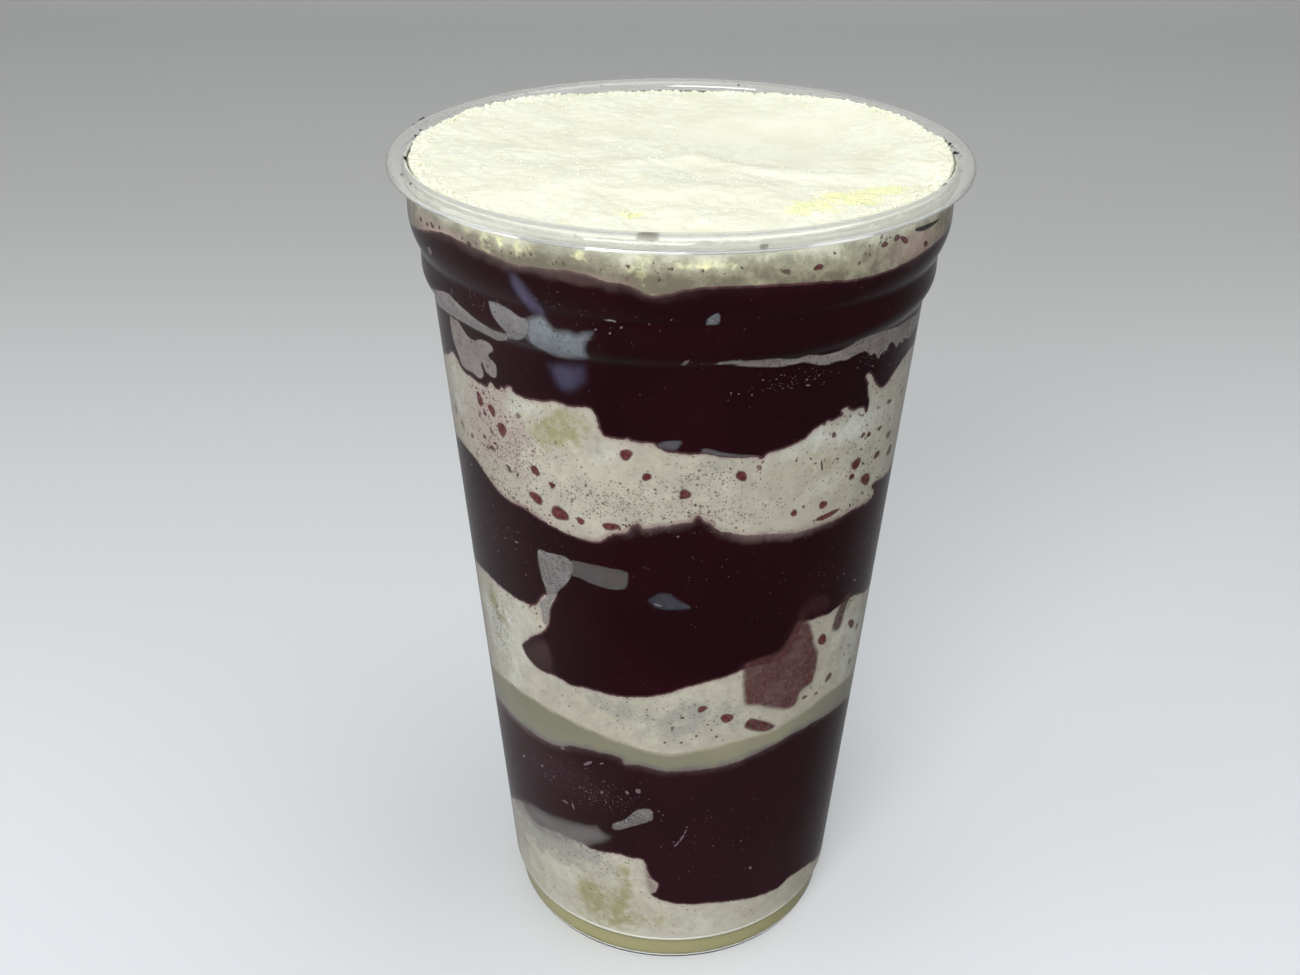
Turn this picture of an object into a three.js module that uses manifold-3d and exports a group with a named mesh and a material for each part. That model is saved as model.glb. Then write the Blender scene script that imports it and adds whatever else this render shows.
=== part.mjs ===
// A clear 700 ml takeaway cup filled with layers of acai, milk cream and condensed milk,
// with milk powder heaped to just under its rim.
// Millimetres, +Z up. The origin is the centre of the foot, on the table, and -Y is the front.
import * as THREE from 'three';
import * as BufferGeometryUtils from 'three/addons/utils/BufferGeometryUtils.js';
import Module from 'manifold-3d';

// Driving dimensions of the cup. Radii are those of its outer face.
const RIM_DIAMETER = 98;
const CUP_HEIGHT = 157.3;
const WALL_THICKNESS = 0.7;
const RIM_TUBE_WIDTH = 3.2;
const RIM_TUBE_HEIGHT = 2.9;
const NECK_BOTTOM = 148;
const STACKING_BAND_RADIUS = 44.4;
const STACKING_BAND_TOP = 142.4;
const STACKING_BAND_BOTTOM = 138.8;
const BODY_TOP_RADIUS = 42.8;
const BODY_TOP = 135;
const BODY_BOTTOM_RADIUS = 33.5;
const BODY_BOTTOM = 6.6;
const FOOT_STEP_BOTTOM = 5.6;
const FOOT_STEP_RADIUS = 32.9;
const FOOT_RADIUS = 32.1;
const FOOT_CORNER_RADIUS = 0.8;
const FOOT_CHANNEL_RADIUS = 28.6;
const FLOOR_HEIGHT = 3.8;

// Driving dimensions of the food.
const GAP = 0.3;
const CONDENSED_MILK_LEVEL = 6.4;
const POWDER_WALL_LEVEL = 154.6;
const POWDER_HEAP_HEIGHT = 1.8;
const POWDER_HEAP_ACROSS = 4;
const POWDER_HEAP_FORWARD = 12;
const POWDER_HEAP_SPREAD = 13;

// Faces round the axis, steps of the curved outlines, and the rings of each wavy surface.
const SEGMENTS = 48;
const SHOULDER_STEPS = 3;
const FOOT_CORNER_STEPS = 3;
const LAYER_RINGS = [22];
const POWDER_RINGS = [9, 18, 27, 36];
const REACH = 52;

const wasm = await Module();
wasm.setup();

const RIM_RADIUS = RIM_DIAMETER / 2;
const NECK_RADIUS = RIM_RADIUS - RIM_TUBE_WIDTH + GAP;

// The rounded shoulder from one radius to the next, as points from its foot to its crown.
function shoulder(lowRadius, lowHeight, highRadius, highHeight) {
  const points = [];
  for (let step = 0; step <= SHOULDER_STEPS; step += 1) {
    const rise = step / SHOULDER_STEPS;
    const fall = 1 - rise;
    points.push([
      highRadius - (highRadius - lowRadius) * fall * fall,
      lowHeight + (highHeight - lowHeight) * rise,
    ]);
  }
  return points;
}

// The outer face of the cup's wall, from the foot step up to the neck.
const wallOutline = [
  [FOOT_STEP_RADIUS, FOOT_STEP_BOTTOM],
  [BODY_BOTTOM_RADIUS, BODY_BOTTOM],
  ...shoulder(BODY_TOP_RADIUS, BODY_TOP, STACKING_BAND_RADIUS, STACKING_BAND_BOTTOM),
  ...shoulder(STACKING_BAND_RADIUS, STACKING_BAND_TOP, NECK_RADIUS, NECK_BOTTOM),
];

function inset(outline, distance) {
  return outline.map(([radius, height]) => [radius - distance, height]);
}

// The quarter turn from the foot's flat ring up into its side.
function footCorner() {
  const points = [];
  for (let step = 1; step <= FOOT_CORNER_STEPS; step += 1) {
    const angle = Math.PI / 2 * step / FOOT_CORNER_STEPS;
    points.push([
      FOOT_RADIUS - FOOT_CORNER_RADIUS * (1 - Math.sin(angle)),
      FOOT_CORNER_RADIUS * (1 - Math.cos(angle)),
    ]);
  }
  return points;
}

function turned(points) {
  const profile = points.map(([radius, height]) => new THREE.Vector2(radius, height));
  const geometry = new THREE.LatheGeometry(profile, SEGMENTS);
  geometry.rotateX(Math.PI / 2);
  return geometry;
}

// The rolled rim in section: an oval tube that hangs outside the neck.
function rimOutline() {
  const halfWidth = RIM_TUBE_WIDTH / 2;
  const halfHeight = RIM_TUBE_HEIGHT / 2;
  const points = [];
  for (let eighth = -3; eighth <= 3; eighth += 1) {
    const angle = eighth * Math.PI / 4;
    points.push([
      RIM_RADIUS - halfWidth + halfWidth * Math.cos(angle),
      CUP_HEIGHT - halfHeight + halfHeight * Math.sin(angle),
    ]);
  }
  return points;
}

function cupGeometry() {
  const channelInner = FOOT_CHANNEL_RADIUS;
  const recess = channelInner - WALL_THICKNESS;
  const inside = inset(wallOutline, WALL_THICKNESS).reverse();
  const outline = [
    [0, FLOOR_HEIGHT],
    [recess, FLOOR_HEIGHT],
    [recess, 0],
    [FOOT_RADIUS - FOOT_CORNER_RADIUS, 0],
    ...footCorner(),
    ...wallOutline,
    ...rimOutline(),
    [NECK_RADIUS - WALL_THICKNESS, CUP_HEIGHT - WALL_THICKNESS],
    ...inside,
    [FOOT_RADIUS - WALL_THICKNESS, FOOT_CORNER_RADIUS + WALL_THICKNESS],
    [FOOT_RADIUS - WALL_THICKNESS - FOOT_CORNER_RADIUS, WALL_THICKNESS],
    [channelInner, WALL_THICKNESS],
    [channelInner, FLOOR_HEIGHT + WALL_THICKNESS],
    [0, FLOOR_HEIGHT + WALL_THICKNESS],
  ];
  return turned(outline);
}

// All the room inside the cup, kept clear of its wall and floor.
function fillGeometry() {
  const clear = WALL_THICKNESS + GAP;
  const outline = [
    [0, FLOOR_HEIGHT + clear],
    [FOOT_CHANNEL_RADIUS + GAP, FLOOR_HEIGHT + clear],
    [FOOT_CHANNEL_RADIUS + GAP, clear],
    [FOOT_RADIUS - clear - FOOT_CORNER_RADIUS, clear],
    [FOOT_RADIUS - clear, FOOT_CORNER_RADIUS + clear],
    ...inset(wallOutline, clear),
    [NECK_RADIUS - clear, CUP_HEIGHT],
    [0, CUP_HEIGHT],
  ];
  return turned(outline);
}

function toManifold(geometry) {
  const bare = new THREE.BufferGeometry();
  bare.setAttribute('position', geometry.getAttribute('position').clone());
  bare.setIndex(geometry.getIndex().clone());
  const merged = BufferGeometryUtils.mergeVertices(bare, 1e-4);
  const index = merged.getIndex().array;
  const faces = [];
  for (let start = 0; start < index.length; start += 3) {
    const [a, b, c] = [index[start], index[start + 1], index[start + 2]];
    if (a !== b && b !== c && c !== a) faces.push(a, b, c);
  }
  return new wasm.Manifold(new wasm.Mesh({
    numProp: 3,
    vertProperties: new Float32Array(merged.getAttribute('position').array),
    triVerts: new Uint32Array(faces),
  }));
}

function fromManifold(solid) {
  const mesh = solid.getMesh();
  const geometry = new THREE.BufferGeometry();
  geometry.setAttribute('position', new THREE.BufferAttribute(mesh.vertProperties, 3));
  geometry.setIndex(new THREE.BufferAttribute(mesh.triVerts, 1));
  geometry.computeVertexNormals();
  return geometry;
}

// A closed curve round the wall through [angle in degrees from the front, height] marks,
// with flat tops and bottoms at the marks, so that it never swings past them.
function wallCurve(marks) {
  return (angle) => {
    const count = marks.length;
    let next = marks.findIndex((mark) => mark[0] > angle);
    if (next < 0) next = 0;
    const before = marks[(next + count - 1) % count];
    const after = marks[next];
    const span = (after[0] - before[0] + 360) % 360;
    const along = ((angle - before[0] + 360) % 360) / span;
    const eased = along * along * (3 - 2 * along);
    return before[1] + (after[1] - before[1]) * eased;
  };
}

// The layers' borders where they meet the wall, from the bottom of the cup to its top.
// Angles run from -180 to 180, positive towards +X.
const milkTopOne = wallCurve([
  [-150, 29], [-110, 24], [-75, 26], [-47, 32.3], [-24, 36], [-18, 33], [-12, 29], [-4, 20],
  [0, 17.3], [18, 16.2], [39, 13.4], [60, 12.5], [100, 12], [140, 17], [175, 25],
]);
const ribbonBottom = wallCurve([
  [-150, 52], [-110, 54], [-75, 51.5], [-50, 51], [-20, 54.4], [-5, 52.4], [12, 52.1], [38, 55],
  [54, 54.4], [75, 51.5], [110, 52], [150, 54.5], [179, 51],
]);
const ribbonTop = wallCurve([
  [-150, 57.5], [-110, 60.5], [-75, 58.5], [-48, 61.4], [-20, 59.1], [0, 56.7], [25, 58.2], [53, 61],
  [75, 57.6], [110, 57], [150, 60], [179, 56.5],
]);
const milkTopTwo = wallCurve([
  [-150, 75], [-110, 80], [-63, 82.3], [-41, 83.4], [-35, 74], [-30, 69.6], [-8, 69.8], [19, 75.8],
  [29, 74.4], [37, 82], [46, 81.5], [52, 77], [57, 83], [75, 79], [110, 80], [150, 74], [179, 79],
]);
const acaiTopTwo = wallCurve([
  [-150, 102], [-110, 106], [-75, 104.4], [-59, 108], [-40, 104.6], [-20, 101.3], [6, 107.6],
  [30, 100.7], [60, 100.2], [75, 105], [110, 103], [150, 106], [179, 104],
]);
const milkTopThree = wallCurve([
  [-150, 121], [-110, 125], [-75, 123], [-61, 127], [-46, 124.8], [-19, 126.7], [-14, 121.8],
  [2, 120], [20, 119], [42, 123.6], [48, 121.5], [58, 126], [75, 126.5], [110, 123], [150, 120],
  [179, 124],
]);
const powderBottom = wallCurve([
  [-150, 148.4], [-90, 148.6], [-50, 150], [-20, 148.4], [-9, 148.8], [-4, 147.3], [2, 148.7],
  [39, 147], [63, 147.6], [110, 149], [150, 147.8],
]);

// A border inside the cup: it follows the wall's curve at the wall and levels out at the axis.
function border(curve, centreHeight) {
  const height = (angle, radius) => {
    const share = Math.min(radius / (BODY_BOTTOM_RADIUS - WALL_THICKNESS), 1);
    return centreHeight + (curve(angle) - centreHeight) * share * share;
  };
  return { height, rings: LAYER_RINGS };
}

function level(height) {
  return { height: () => height, rings: [] };
}

// The powder's top: level near the wall, with a low heap in front of the axis.
function powderHeight(angle, radius) {
  const turn = THREE.MathUtils.degToRad(angle);
  const across = radius * Math.sin(turn) - POWDER_HEAP_ACROSS;
  const forward = radius * Math.cos(turn) - POWDER_HEAP_FORWARD;
  const nearness = Math.exp(-(across ** 2 + forward ** 2) / (2 * POWDER_HEAP_SPREAD ** 2));
  return POWDER_WALL_LEVEL + POWDER_HEAP_HEIGHT * nearness;
}

// The room between two surfaces, each a height over angle and radius drawn on its own rings,
// out past the cup's wall.
function slab(bottom, top, clearance) {
  const positions = [];
  const faces = [];
  const edges = [bottom, top].map((surface, side) => {
    const shift = side === 0 ? clearance : -clearance;
    const face = (a, b, c) => (side === 1 ? faces.push(a, b, c) : faces.push(a, c, b));
    const centre = positions.length / 3;
    positions.push(0, 0, surface.height(0, 0) + shift);
    const rings = [...surface.rings, REACH].map((radius) => {
      const first = positions.length / 3;
      for (let segment = 0; segment < SEGMENTS; segment += 1) {
        const turn = segment / SEGMENTS * 2 * Math.PI - Math.PI;
        const height = surface.height(THREE.MathUtils.radToDeg(turn), radius) + shift;
        positions.push(radius * Math.sin(turn), -radius * Math.cos(turn), height);
      }
      return (segment) => first + segment % SEGMENTS;
    });
    for (let segment = 0; segment < SEGMENTS; segment += 1) {
      face(centre, rings[0](segment), rings[0](segment + 1));
      for (let ring = 1; ring < rings.length; ring += 1) {
        const [inner, outer] = [rings[ring - 1], rings[ring]];
        face(inner(segment), outer(segment), outer(segment + 1));
        face(inner(segment), outer(segment + 1), inner(segment + 1));
      }
    }
    return rings[rings.length - 1];
  });
  const [low, high] = edges;
  for (let segment = 0; segment < SEGMENTS; segment += 1) {
    faces.push(low(segment), low(segment + 1), high(segment + 1));
    faces.push(low(segment), high(segment + 1), high(segment));
  }
  const geometry = new THREE.BufferGeometry();
  geometry.setAttribute('position', new THREE.Float32BufferAttribute(positions, 3));
  geometry.setIndex(faces);
  return geometry;
}

const fill = toManifold(fillGeometry());

// One layer of the food: the cup's room between two borders, half a gap clear of each.
function layerGeometry(bottom, top) {
  return fromManifold(fill.intersect(toManifold(slab(bottom, top, GAP / 2))));
}

function material(color, roughness) {
  return new THREE.MeshStandardMaterial({ color, roughness, metalness: 0 });
}

const ACAI = 0x351317;
const MILK = 0xe4dfcd;
const CONDENSED_MILK = 0xc9c190;
const POWDER = 0xf6f5e2;
const CLEAR_PLASTIC = 0xe8ecec;

function piece(name, geometry, color, roughness) {
  const mesh = new THREE.Mesh(geometry, material(color, roughness));
  mesh.name = name;
  return mesh;
}

const borders = [
  level(0),
  level(CONDENSED_MILK_LEVEL),
  border(milkTopOne, 24),
  border(ribbonBottom, 52),
  border(ribbonTop, 57),
  border(milkTopTwo, 77),
  border(acaiTopTwo, 103),
  border(milkTopThree, 122),
  border(powderBottom, 147),
  { height: powderHeight, rings: POWDER_RINGS },
];
const layers = [
  ['condensed_milk_base', CONDENSED_MILK, 0.35],
  ['milk_layer_1', MILK, 0.4],
  ['acai_layer_1', ACAI, 0.45],
  ['condensed_milk_ribbon', CONDENSED_MILK, 0.35],
  ['milk_layer_2', MILK, 0.4],
  ['acai_layer_2', ACAI, 0.45],
  ['milk_layer_3', MILK, 0.4],
  ['acai_layer_3', ACAI, 0.45],
  ['milk_powder', POWDER, 0.95],
];

const acaiCup = new THREE.Group();
acaiCup.add(piece('cup', cupGeometry(), CLEAR_PLASTIC, 0.1));
layers.forEach(([name, color, roughness], below) => {
  acaiCup.add(piece(name, layerGeometry(borders[below], borders[below + 1]), color, roughness));
});

export default acaiCup;
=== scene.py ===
"""A clear takeaway cup of acai, milk cream and condensed milk in wavy layers, under milk powder.

Shapes are worked out in millimetres. A place on the wall is (angle, height): degrees from
the front, positive towards +X, and millimetres above the table.
"""

import math
import random

import bpy
import numpy as np
from mathutils import Matrix, Vector, noise
from mathutils.geometry import delaunay_2d_cdt
from mathutils.kdtree import KDTree


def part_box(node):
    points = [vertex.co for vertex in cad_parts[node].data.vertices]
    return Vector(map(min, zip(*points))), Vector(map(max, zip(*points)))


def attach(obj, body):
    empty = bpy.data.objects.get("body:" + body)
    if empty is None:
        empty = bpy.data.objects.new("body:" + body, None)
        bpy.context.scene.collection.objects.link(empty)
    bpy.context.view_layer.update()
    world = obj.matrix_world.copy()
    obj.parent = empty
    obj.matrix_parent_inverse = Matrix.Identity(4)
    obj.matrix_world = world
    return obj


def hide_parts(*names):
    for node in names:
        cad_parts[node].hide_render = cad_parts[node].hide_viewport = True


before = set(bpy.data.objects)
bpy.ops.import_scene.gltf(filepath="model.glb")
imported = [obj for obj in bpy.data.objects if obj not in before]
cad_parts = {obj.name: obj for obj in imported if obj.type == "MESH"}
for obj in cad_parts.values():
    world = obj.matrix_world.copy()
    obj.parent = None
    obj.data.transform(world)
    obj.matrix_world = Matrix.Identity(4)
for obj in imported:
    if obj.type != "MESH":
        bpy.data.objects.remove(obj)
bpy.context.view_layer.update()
MM = 0.001

# The cup, as the frame gives it, and the sizes of its outer face.
_, CUP_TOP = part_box("cup")
RIM_RADIUS = CUP_TOP.x / MM
CUP_HEIGHT = CUP_TOP.z / MM
WALL = 0.6
NECK_RADIUS = 46.06
NECK_BOTTOM = 148.0
BAND_RADIUS = 44.4
BAND_TOP = 142.4
BAND_BOTTOM = 138.8
BODY_TOP_RADIUS = 42.8
BODY_TOP = 135.0
BODY_BOTTOM_RADIUS = 33.5
BODY_BOTTOM = 6.6
FOOT_STEP_RADIUS = 32.9
FOOT_STEP = 5.6
FOOT_RADIUS = 32.1
FOOT_CORNER = 0.8
CHANNEL_RADIUS = 28.6
FLOOR_TOP = 4.5
CONDENSED_LEVEL = 6.2

# The outer face's corners are rounded over this far up and down.
CORNER_REACH = 0.45
# Food reaches this far into the wall, and what lies on it a little further.
BITE = 0.12
# Degrees on the wall become millimetres along an unrolled one of this radius.
UNROLL_RADIUS = 40.0
SEAM = math.pi * UNROLL_RADIUS


# ---------------------------------------------------------------- the wall's outline

def raw_radius(z):
    """The outer face's radius with sharp corners, for an array of heights."""
    z = np.asarray(z, float)
    foot = FOOT_RADIUS + (FOOT_STEP_RADIUS - FOOT_RADIUS) * np.clip(z / FOOT_STEP, 0, 1)
    step = (z - FOOT_STEP) / (BODY_BOTTOM - FOOT_STEP)
    step = FOOT_STEP_RADIUS + (BODY_BOTTOM_RADIUS - FOOT_STEP_RADIUS) * np.clip(step, 0, 1)
    body = (z - BODY_BOTTOM) / (BODY_TOP - BODY_BOTTOM)
    body = BODY_BOTTOM_RADIUS + (BODY_TOP_RADIUS - BODY_BOTTOM_RADIUS) * np.clip(body, 0, 1)
    low = np.clip((BAND_BOTTOM - z) / (BAND_BOTTOM - BODY_TOP), 0, 1)
    low = BAND_RADIUS - (BAND_RADIUS - BODY_TOP_RADIUS) * low * low
    high = np.clip((NECK_BOTTOM - z) / (NECK_BOTTOM - BAND_TOP), 0, 1)
    high = NECK_RADIUS - (NECK_RADIUS - BAND_RADIUS) * high * high
    return np.select(
        [z < FOOT_STEP, z < BODY_BOTTOM, z < BODY_TOP, z < BAND_TOP],
        [foot, step, body, low],
        high,
    )


def wall_radius(z):
    """The outer face's radius with its corners rounded."""
    z = np.asarray(z, float)
    return (raw_radius(z - CORNER_REACH) + raw_radius(z) + raw_radius(z + CORNER_REACH)) / 3


def food_radius(z, lift=0.0):
    return wall_radius(z) - WALL + BITE + lift


def around(radius, turn, z):
    """Points at a radius, a turn from the front in radians, and a height."""
    return np.stack(np.broadcast_arrays(radius * np.sin(turn), -radius * np.cos(turn), z), axis=-1)


def on_wall(angles, heights, lift=0.0):
    """Points in millimetres for places on the food's outer face."""
    return around(food_radius(heights, lift), np.radians(angles), heights)


def turns_of(points):
    """Each point's turn from the front, in radians."""
    points = np.asarray(points)
    return np.arctan2(points[:, 0], -points[:, 1])


def wrapped(angle):
    """The same angle between -180 and 180 degrees."""
    return (angle + 180) % 360 - 180


# ---------------------------------------------------------------- making meshes

def add_object(name, data):
    made = bpy.data.objects.new(name, data)
    bpy.context.scene.collection.objects.link(made)
    return made


def make_piece(name, points, faces, material, replaces=(), values=None, sharp=35):
    """A mesh piece from points in millimetres, riding on the root, with its float values."""
    mesh = bpy.data.meshes.new(name)
    mesh.from_pydata((np.asarray(points) * MM).tolist(), [], faces)
    mesh.validate()
    for key, data in (values or {}).items():
        layer = mesh.attributes.new(key, "FLOAT", "POINT")
        layer.data.foreach_set("value", np.asarray(data, np.float32))
    mesh.polygons.foreach_set("use_smooth", [True] * len(mesh.polygons))
    mesh.set_sharp_from_angle(angle=math.radians(sharp))
    mesh.materials.append(material)
    piece = add_object(name, mesh)
    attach(piece, "root")
    if replaces:
        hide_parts(*replaces)


def turned(outline, segments):
    """Points and faces of an outline of (radius, height) turned round the axis.
    It starts and ends on the axis, or closes on itself."""
    closed = outline[0][0] > 0
    turn = np.linspace(0, 2 * np.pi, segments, endpoint=False)
    points = []
    rings = []
    for radius, height in outline:
        if radius <= 0:
            rings.append([len(points)] * segments)
            points.append((0, 0, height))
        else:
            rings.append(list(range(len(points), len(points) + segments)))
            points.extend(around(radius, turn, height).tolist())
    pairs = list(zip(rings, rings[1:]))
    if closed:
        pairs.append((rings[-1], rings[0]))
    faces = []
    for low, high in pairs:
        for i in range(segments):
            j = (i + 1) % segments
            corners = [low[i], low[j], high[j], high[i]]
            faces.append(tuple(dict.fromkeys(corners)))
    return points, faces


class Batch:
    """Many small closed bodies gathered into one piece."""

    def __init__(self, *keys):
        self.points = []
        self.faces = []
        self.values = {key: [] for key in keys}

    def add(self, points, faces, **values):
        start = len(self.points)
        self.points.extend(points)
        self.faces.extend(tuple(v + start for v in face) for face in faces)
        for key, data in values.items():
            self.values[key].extend(data)

    def piece(self, name, material, slot, sharp=35):
        make_piece(name, self.points, self.faces, material, (), self.values, sharp)


# ---------------------------------------------------------------- outlines on the wall

def chaikin(line, rounds=2):
    """Cuts the corners of an open line, whose ends stay."""
    line = np.asarray(line, float)
    for _ in range(rounds):
        a, b = line[:-1], line[1:]
        cut = np.stack([0.75 * a + 0.25 * b, 0.25 * a + 0.75 * b], axis=1).reshape(-1, 2)
        line = np.vstack([line[:1], cut, line[-1:]])
    return line


def unroll(line):
    line = np.asarray(line, float)
    return np.stack([np.radians(line[:, 0]) * UNROLL_RADIUS, line[:, 1]], axis=-1)


def roll(line):
    return np.stack([np.degrees(line[:, 0] / UNROLL_RADIUS), line[:, 1]], axis=-1)


def resample(line, spacing):
    """The same line with evenly spaced points, in unrolled millimetres."""
    steps = np.hypot(*np.diff(line, axis=0).T)
    along = np.concatenate([[0], np.cumsum(steps)])
    count = max(int(along[-1] / spacing), 8)
    wanted = np.linspace(0, along[-1], count + 1)
    return np.stack([np.interp(wanted, along, line[:, k]) for k in (0, 1)], axis=-1)


def normals_of(line):
    """Each point's unit normal, to the left of the line."""
    ahead = np.roll(line, -1, axis=0) - np.roll(line, 1, axis=0)
    ahead[0], ahead[-1] = line[1] - line[0], line[-1] - line[-2]
    ahead /= np.maximum(np.hypot(*ahead.T), 1e-9)[:, None]
    return np.stack([-ahead[:, 1], ahead[:, 0]], axis=-1)


def ragged(line, amount, seed):
    """Moves an unrolled line's points sideways by noise that meets itself round the cup."""
    places = on_wall(*roll(line).T)
    shift = np.empty(len(line))
    for i, p in enumerate(places):
        coarse = noise.noise(Vector(p) * 0.16 + Vector((seed, 0, 0)))
        middle = noise.noise(Vector(p) * 0.55 + Vector((0, seed, 0)))
        fine = noise.noise(Vector(p) * 1.7 + Vector((0, 0, seed)))
        fine += 0.55 * noise.noise(Vector(p) * 4.1 + Vector((seed, 0, seed)))
        unseen = min(max((abs(line[i, 0]) - 50) / 20, 0), 1)
        shift[i] = 1.6 * unseen * coarse + (0.35 + unseen) * middle + 0.4 * fine
    return line + normals_of(line) * (shift * amount)[:, None]


BORDER_STEP = 0.27


def wall_line(marks, amount, seed):
    """A border round the whole cup, from -180 to 180 degrees, through (angle, height) marks."""
    level = (marks[0][1] + marks[-1][1]) * 0.5
    marks = [(-180, level), *marks, (180, level)]
    line = resample(unroll(chaikin(marks)), BORDER_STEP)
    line = ragged(line, amount, seed)
    line[0, 0], line[-1, 0] = -SEAM, SEAM
    line[-1, 1] = line[0, 1]
    return line


def fill_outline(outline, spacing, extra):
    """Triangles inside a closed unrolled outline, with rows close together where the wall
    curves. Returns points, faces and, for each point of the outline, its place among them."""
    count = len(outline)
    low, high = outline.min(0), outline.max(0)
    xs = np.arange(low[0], high[0] + spacing, spacing)
    zs = np.unique(np.concatenate([
        np.arange(low[1], high[1], spacing),
        np.arange(BODY_TOP - 1, NECK_BOTTOM + 1, 0.5),
    ]))
    zs = zs[(zs > low[1]) & (zs < high[1])]
    grid = np.stack(np.meshgrid(xs, zs), axis=-1).reshape(-1, 2)
    points = np.vstack([outline, extra, grid])
    edges = [(i, (i + 1) % count) for i in range(count)]
    verts, _, faces, kept, _, _ = delaunay_2d_cdt(
        [Vector(p) for p in points], edges, [], 1, 1e-5
    )
    place = {}
    for new, olds in enumerate(kept):
        for old in olds:
            place[old] = new
    flat = np.array([v[:] for v in verts])
    used = np.zeros(len(flat), bool)
    for face in faces:
        used[list(face)] = True
    for i in range(count):
        used[place[i]] = True
    index = np.cumsum(used) - 1
    faces = [tuple(int(index[v]) for v in face) for face in faces]
    return flat[used], faces, [int(index[place[i]]) for i in range(count)]


def distances(points, line):
    """How far each unrolled point lies from a line, in millimetres."""
    tree = KDTree(len(line))
    for i, (x, z) in enumerate(line):
        tree.insert((x, z, 0), i)
    tree.balance()
    return np.array([tree.find((x, z, 0))[2] for x, z in points])


def beside(line, distance):
    """Points on both sides of a line, this far from it."""
    side = normals_of(line) * distance
    return np.vstack([line + side, line - side])


def spots(places, blobs):
    """How strongly each (angle, height) place lies in soft blobs of
    (angle, height, half width in degrees, half height, strength)."""
    total = np.zeros(len(places))
    for angle, height, wide, tall, strength in blobs:
        across = wrapped(places[:, 0] - angle)
        reach = (across / wide) ** 2 + ((places[:, 1] - height) / tall) ** 2
        total += strength * np.exp(-reach)
    return np.clip(total, 0, 1)


def smooth(value, low, high):
    """0 below low, 1 above high and an even rise between them."""
    share = np.clip((np.asarray(value, float) - low) / (high - low), 0, 1)
    return share * share * (3 - 2 * share)


# ---------------------------------------------------------------- solids on the wall

# The rings of a layer's surface inside the cup, as shares of the way out to the wall.
RING_SHARES = (0.97, 0.85, 0.55, 0.25)
# Points kept this far from a border on both sides, so that its tints can follow it.
BORDER_MARGINS = (0.8, 1.6)
LAYER_STEP = 2.0
FILM_STEP = 0.9
# A film's back lies this far behind the food's face.
FILM_SINK = 0.06
# The distance to a border that has no tint along it.
FAR_OFF = 9.0


def strip(outer, inner, upward):
    """Quads between two rings of point numbers."""
    faces = []
    for i in range(len(outer)):
        j = (i + 1) % len(outer)
        face = (outer[i], outer[j], inner[j], inner[i])
        faces.append(face if upward else face[::-1])
    return faces


def lid(points, faces, loop, centre_height, upward):
    """Closes a layer from its loop at the wall in to the axis."""
    ring = list(loop)
    outer = np.array([points[i] for i in ring])
    for share in RING_SHARES:
        level = centre_height + (outer[:, 2] - centre_height) * share * share
        start = len(points)
        points.extend(np.stack([outer[:, 0] * share, outer[:, 1] * share, level], -1).tolist())
        inner = list(range(start, start + len(outer)))
        faces.extend(strip(ring, inner, upward))
        ring = inner
    points.append([0, 0, centre_height])
    tip = len(points) - 1
    for i in range(len(ring)):
        face = (ring[i], ring[(i + 1) % len(ring)], tip)
        faces.append(face if upward else face[::-1])


def layer_wall(low, high):
    """The outer skin of a layer between two wall lines, joined at its seam.
    Returns its unrolled points, faces and the two loops of point numbers."""
    seam = np.linspace(low[0, 1], high[0, 1], 12)[1:-1]
    right = np.stack([np.full_like(seam, SEAM), seam], axis=-1)
    left = np.stack([np.full_like(seam, -SEAM), seam[::-1]], axis=-1)
    outline = np.vstack([low, right, high[::-1], left])
    extra = np.vstack([beside(line, margin) for margin in BORDER_MARGINS for line in (low, high)])
    extra = extra[np.abs(extra[:, 0]) < SEAM - 0.3]
    flat, faces, place = fill_outline(outline, LAYER_STEP, extra)
    # The two sides of the seam become one.
    match = {}
    for i, (x, z) in enumerate(flat):
        if abs(x + SEAM) < 1e-4:
            match[round(float(z), 3)] = i
    same = {}
    for i, (x, z) in enumerate(flat):
        if abs(x - SEAM) < 1e-4 and round(float(z), 3) in match:
            same[i] = match[round(float(z), 3)]
    faces = [tuple(same.get(v, v) for v in face) for face in faces]
    low_loop = [place[i] for i in range(len(low) - 1)]
    start = len(low) + len(seam)
    high_loop = [place[start + i] for i in range(len(high))][::-1][:-1]
    return flat, faces, low_loop, high_loop


def layer_piece(name, low, high, low_centre, high_centre, material, blobs):
    """A layer of food between two borders, with the values that its material tints it by."""
    flat, faces, low_loop, high_loop = layer_wall(low, high)
    places = roll(flat)
    values = {"low": distances(flat, low), "high": distances(flat, high)}
    values["glint"] = np.exp(-values["low"] / 0.8) if name == "milk_layer_1" else np.zeros(len(flat))
    if name in ("milk_layer_1", "milk_layer_2"):
        values["low"] = np.full(len(flat), FAR_OFF)
    for key in ("warm", "pink", "grey", "pin", "pale", "white", "veil_and_sheen"):
        values[key] = spots(places, blobs.get(key, ()))
    points = on_wall(*places.T).tolist()
    lid(points, faces, high_loop, high_centre, True)
    lid(points, faces, low_loop, low_centre, False)
    spare = len(points) - len(flat)
    values = {key: np.concatenate([data, np.zeros(spare)]) for key, data in values.items()}
    make_piece(name, points, faces, material, [name], values)


def skin(batch, flat, faces, loop, lift, **values):
    """A thin closed body on the wall: a front, a back just behind the food's face, and sides."""
    places = roll(flat)
    front = on_wall(*places.T, lift).tolist()
    back = on_wall(*places.T, -FILM_SINK).tolist()
    count = len(front)
    walls = [(a, a + count, b + count, b) for a, b in zip(loop, loop[1:] + loop[:1])]
    behind = [tuple(v + count for v in face[::-1]) for face in faces]
    doubled = {key: np.concatenate([data, data]) for key, data in values.items()}
    batch.add(front + back, list(faces) + behind + walls, **doubled)


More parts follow.
